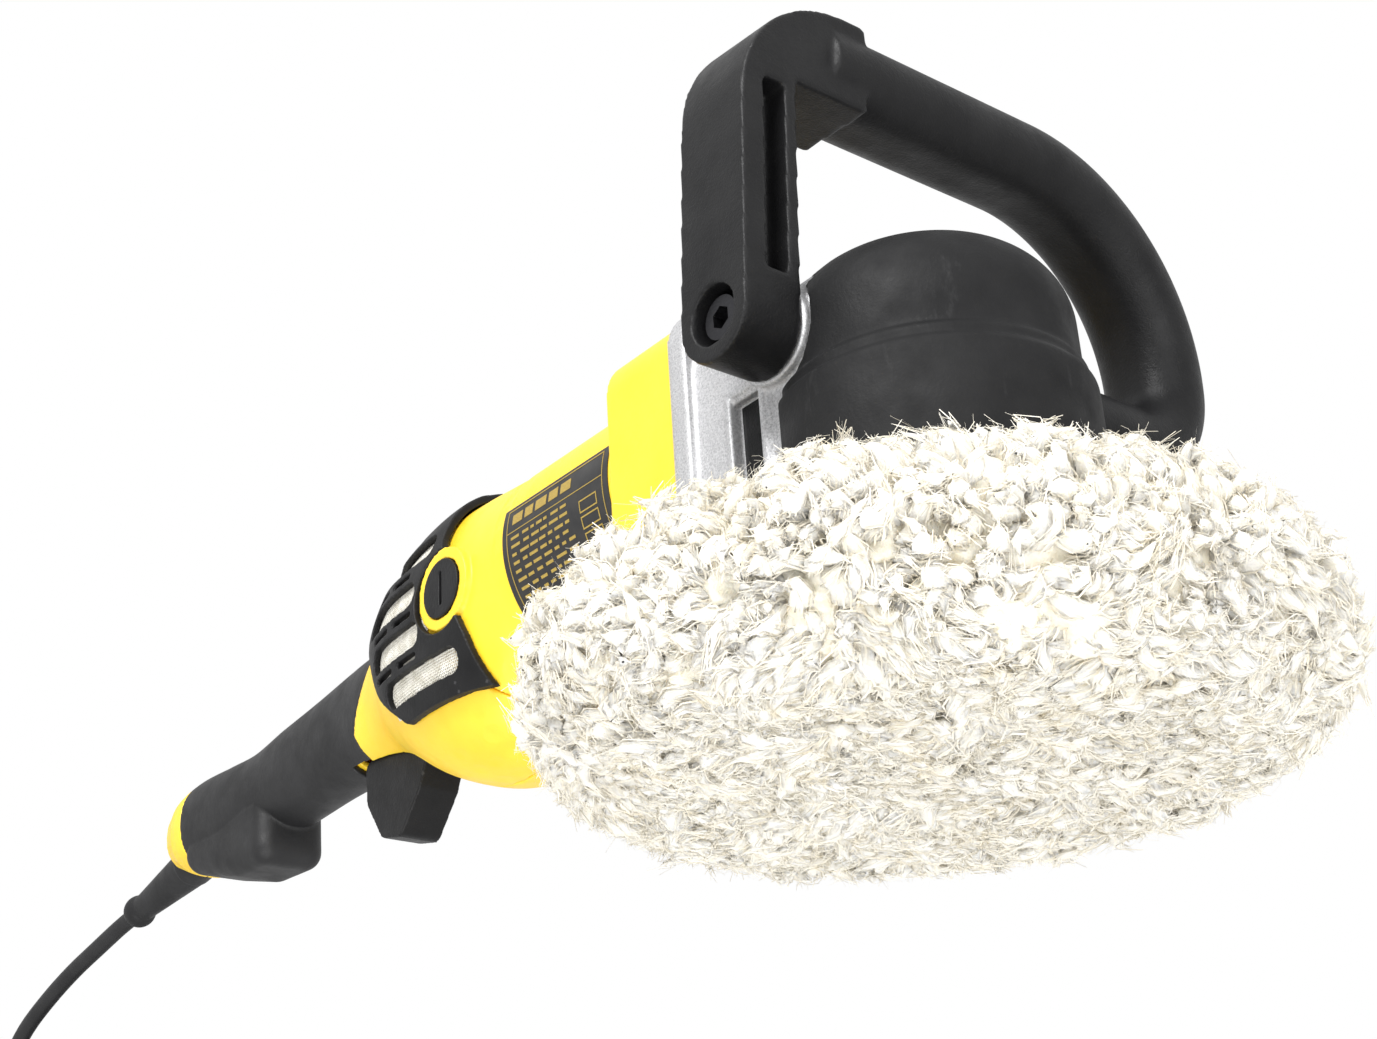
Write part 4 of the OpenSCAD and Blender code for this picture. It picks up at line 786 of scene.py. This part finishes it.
LABEL_EDGE = 2.5          # plain border of the label, mm
LABEL_T = 0.4
INK_T = 0.06


def barrel_patch(y0, y1, a0, a1, radius, steps=6):
    """Curved strip on the barrel: y in metres, angles in degrees up from the side."""
    angles = np.radians(np.linspace(a0, a1, steps))
    rows = []
    for r in (radius, radius + INK_T * MM):
        for y in (y0, y1):
            rows.append(np.stack([-r * np.cos(angles), np.full(steps, y),
                                  axis_z + r * np.sin(angles)], axis=1))
    under_a, under_b, over_a, over_b = (np.arange(steps) + k * steps for k in range(4))
    quads = []
    for first, second in ((over_a, over_b), (under_b, under_a), (under_a, over_a),
                          (over_b, under_b)):
        quads += list(zip(first[:-1], second[:-1], second[1:], first[1:]))
    for end in (0, -1):
        quads.append((under_a[end], under_b[end], over_b[end], over_a[end]))
    return np.concatenate(rows), np.array(quads)


def label_print():
    """Plain rules and rows of dashes in gold: strips of first and last y, and two angles."""
    low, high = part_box("rating_label")
    radius = barrel_r + LABEL_T * MM
    front, back = low.y + LABEL_EDGE * MM, high.y - LABEL_EDGE * MM
    source = np.random.default_rng(5)
    strips = [(front, back, 16.2, 15.5), (front, back, 3.4, 2.9), (front, back, -35.2, -35.9),
              (front, front + 0.35 * MM, 16.2, -35.9), (back - 0.35 * MM, back, 16.2, -35.9)]
    y = back - 3 * MM
    for width in (5.5, 4.5, 6.0, 5.0, 5.5):
        strips.append((y - width * MM, y, 12.5, 7.0))
        y -= (width + 1.4) * MM
    for row in range(8):
        y, a = back - 2.5 * MM, 0.4 - row * 4.3
        stop = front + (17 if row < 6 else 4) * MM
        while y - 2 * MM > stop:
            width = source.uniform(1.6, 5.2) * MM
            strips.append((max(y - width, stop), y, a, a - 1.5))
            y -= width + source.uniform(0.8, 2.2) * MM
    for k in range(3):
        centre, size = front + 8 * MM, 4.5 * MM
        a = -3 - k * 8
        strips += [(centre - size, centre + size, a, a - 0.7),
                   (centre - size, centre + size, a - 5.5, a - 6.2),
                   (centre - size, centre - size + 0.4 * MM, a, a - 6.2),
                   (centre + size - 0.4 * MM, centre + size, a, a - 6.2)]
    points, quads, start = [], [], 0
    for y0, y1, a0, a1 in strips:
        steps = max(2, int(abs(a1 - a0) / 4) + 2)
        p, q = barrel_patch(y0, y1, a0, a1, radius, steps)
        points.append(p)
        quads.append(q + start)
        start += len(p)
    mesh = mesh_from("label_print", np.concatenate(points), np.concatenate(quads))
    mesh.polygons.foreach_set("use_smooth", np.zeros(len(mesh.polygons), dtype=bool))
    make_object("label_print", mesh, paint["gold"], "housing")


# ---------- assembly ----------

NODE_PAINT = {
    "bearing_plate": "cast", "retainer_screws": "steel", "gear_case_screws": "screw",
    "spindle_seal": "cord", "handle_screws": "screw", "brush_holders": "brass",
    "carbon_brushes": "carbon", "stator_core": "iron", "field_coils": "copper",
    "rear_bearing_bridge": "black", "power_module": "module", "switch_body": "black",
    "spindle_bearing_top": "steel", "spindle_bearing_bottom": "steel",
    "countershaft_bearing_front": "steel", "countershaft_bearing_rear": "steel",
    "armature_bearing_front": "steel", "armature_bearing_rear": "steel",
    "bail_screws": "screw", "trigger_pin": "steel", "spindle": "steel", "ring_gear": "steel",
    "pad_flange_nut": "steel", "countershaft": "steel", "countershaft_gear": "steel",
    "bevel_pinion": "steel", "armature_shaft": "steel", "armature_core": "iron",
    "commutator": "copper", "cooling_fan": "black", "rating_label": "film"}


def paint_nodes():
    """Gives each carried-over CAD node its finish in place."""
    for node, finish in NODE_PAINT.items():
        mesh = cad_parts[node].data
        for index in range(max(1, len(mesh.materials))):
            if len(mesh.materials) <= index:
                mesh.materials.append(paint[finish])
            else:
                mesh.materials[index] = paint[finish]


# Bounds of the gear case's vent bottoms, which are painted black as painted shade
VENT_Y = (15.5, 26.5)     # the gear case's side vents, mm
VENT_Z = (88, 116)
VENT_INSET = 9.2          # how far their bottoms lie inside the cover's side


def paint_vent_shade(case):
    """The bottoms of the gear case's side vents, which open into the dark: painted shade, given
    in the black plastic's colour.
    """
    # painted shade: the black plastic goes on the vent bottoms
    case.data.materials.append(paint["black"])
    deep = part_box("gear_case_cover")[1].x - VENT_INSET * MM
    for face in case.data.polygons:
        x, y, z = face.center
        in_vent = VENT_Y[0] * MM < y < VENT_Y[1] * MM and VENT_Z[0] * MM < z < VENT_Z[1] * MM
        if in_vent and abs(x) < deep:
            if abs(face.normal.x) > 0.5 or abs(x) < deep - 2 * MM:
                face.material_index = 1


def hard_pieces():
    """The rounded skins of the visible mouldings and castings."""
    case = moulded("gear_case", 0.8, paint["cast"], passes=2)
    # painted shade: the vent bottoms are painted black
    paint_vent_shade(case)
    moulded("gear_case_cover", 0.7, paint["cover"], passes=4)
    moulded("bearing_retainer", 0.6, paint["black"])
    moulded("motor_housing", 0.7, paint["yellow"], grows=(0,))
    for side in ("left", "right"):
        moulded("handle_half_" + side, 0.7, paint["yellow"], grows=(0,))
        moulded("intake_shield_" + side, 0.45, paint["shield"],
                grows=(3.5, 0.9))
        moulded("brush_cap_" + side, 0.35, paint["black"], passes=2)
    moulded("soft_grip", 0.7, paint["grip"], grows=(0,))
    moulded("bail_handle", 0.8, paint["black"], passes=5, body="bail")
    moulded("backing_pad", 0.9, paint["black"], body="pad_drive")
    moulded("trigger", 0.5, paint["black"], body="trigger", passes=4)
    moulded("lock_on_button", 0.4, paint["grip"], body="lock_on")
    moulded("speed_dial", 0.35, paint["black"], body="dial", passes=1)
    moulded("spindle_lock_button", 0.4, paint["black"], body="spindle_lock",
            passes=2)


make_camera()
make_world(0.82)
make_light("key", (-0.9, -0.3, 0.9), 0.6, 18)
make_light("front", (-0.3, -1.1, 0.1), 0.9, 6.5)
make_light("low", (-0.5, -0.3, -0.8), 1.0, 10)
make_floor()
bpy.context.scene.view_settings.view_transform = "Standard"
make_lead()
pad_base()
pad_locks()
pad_hairs()
hard_pieces()
for screen_side in ("left", "right"):
    dust_screen(screen_side)
label_print()
paint_nodes()
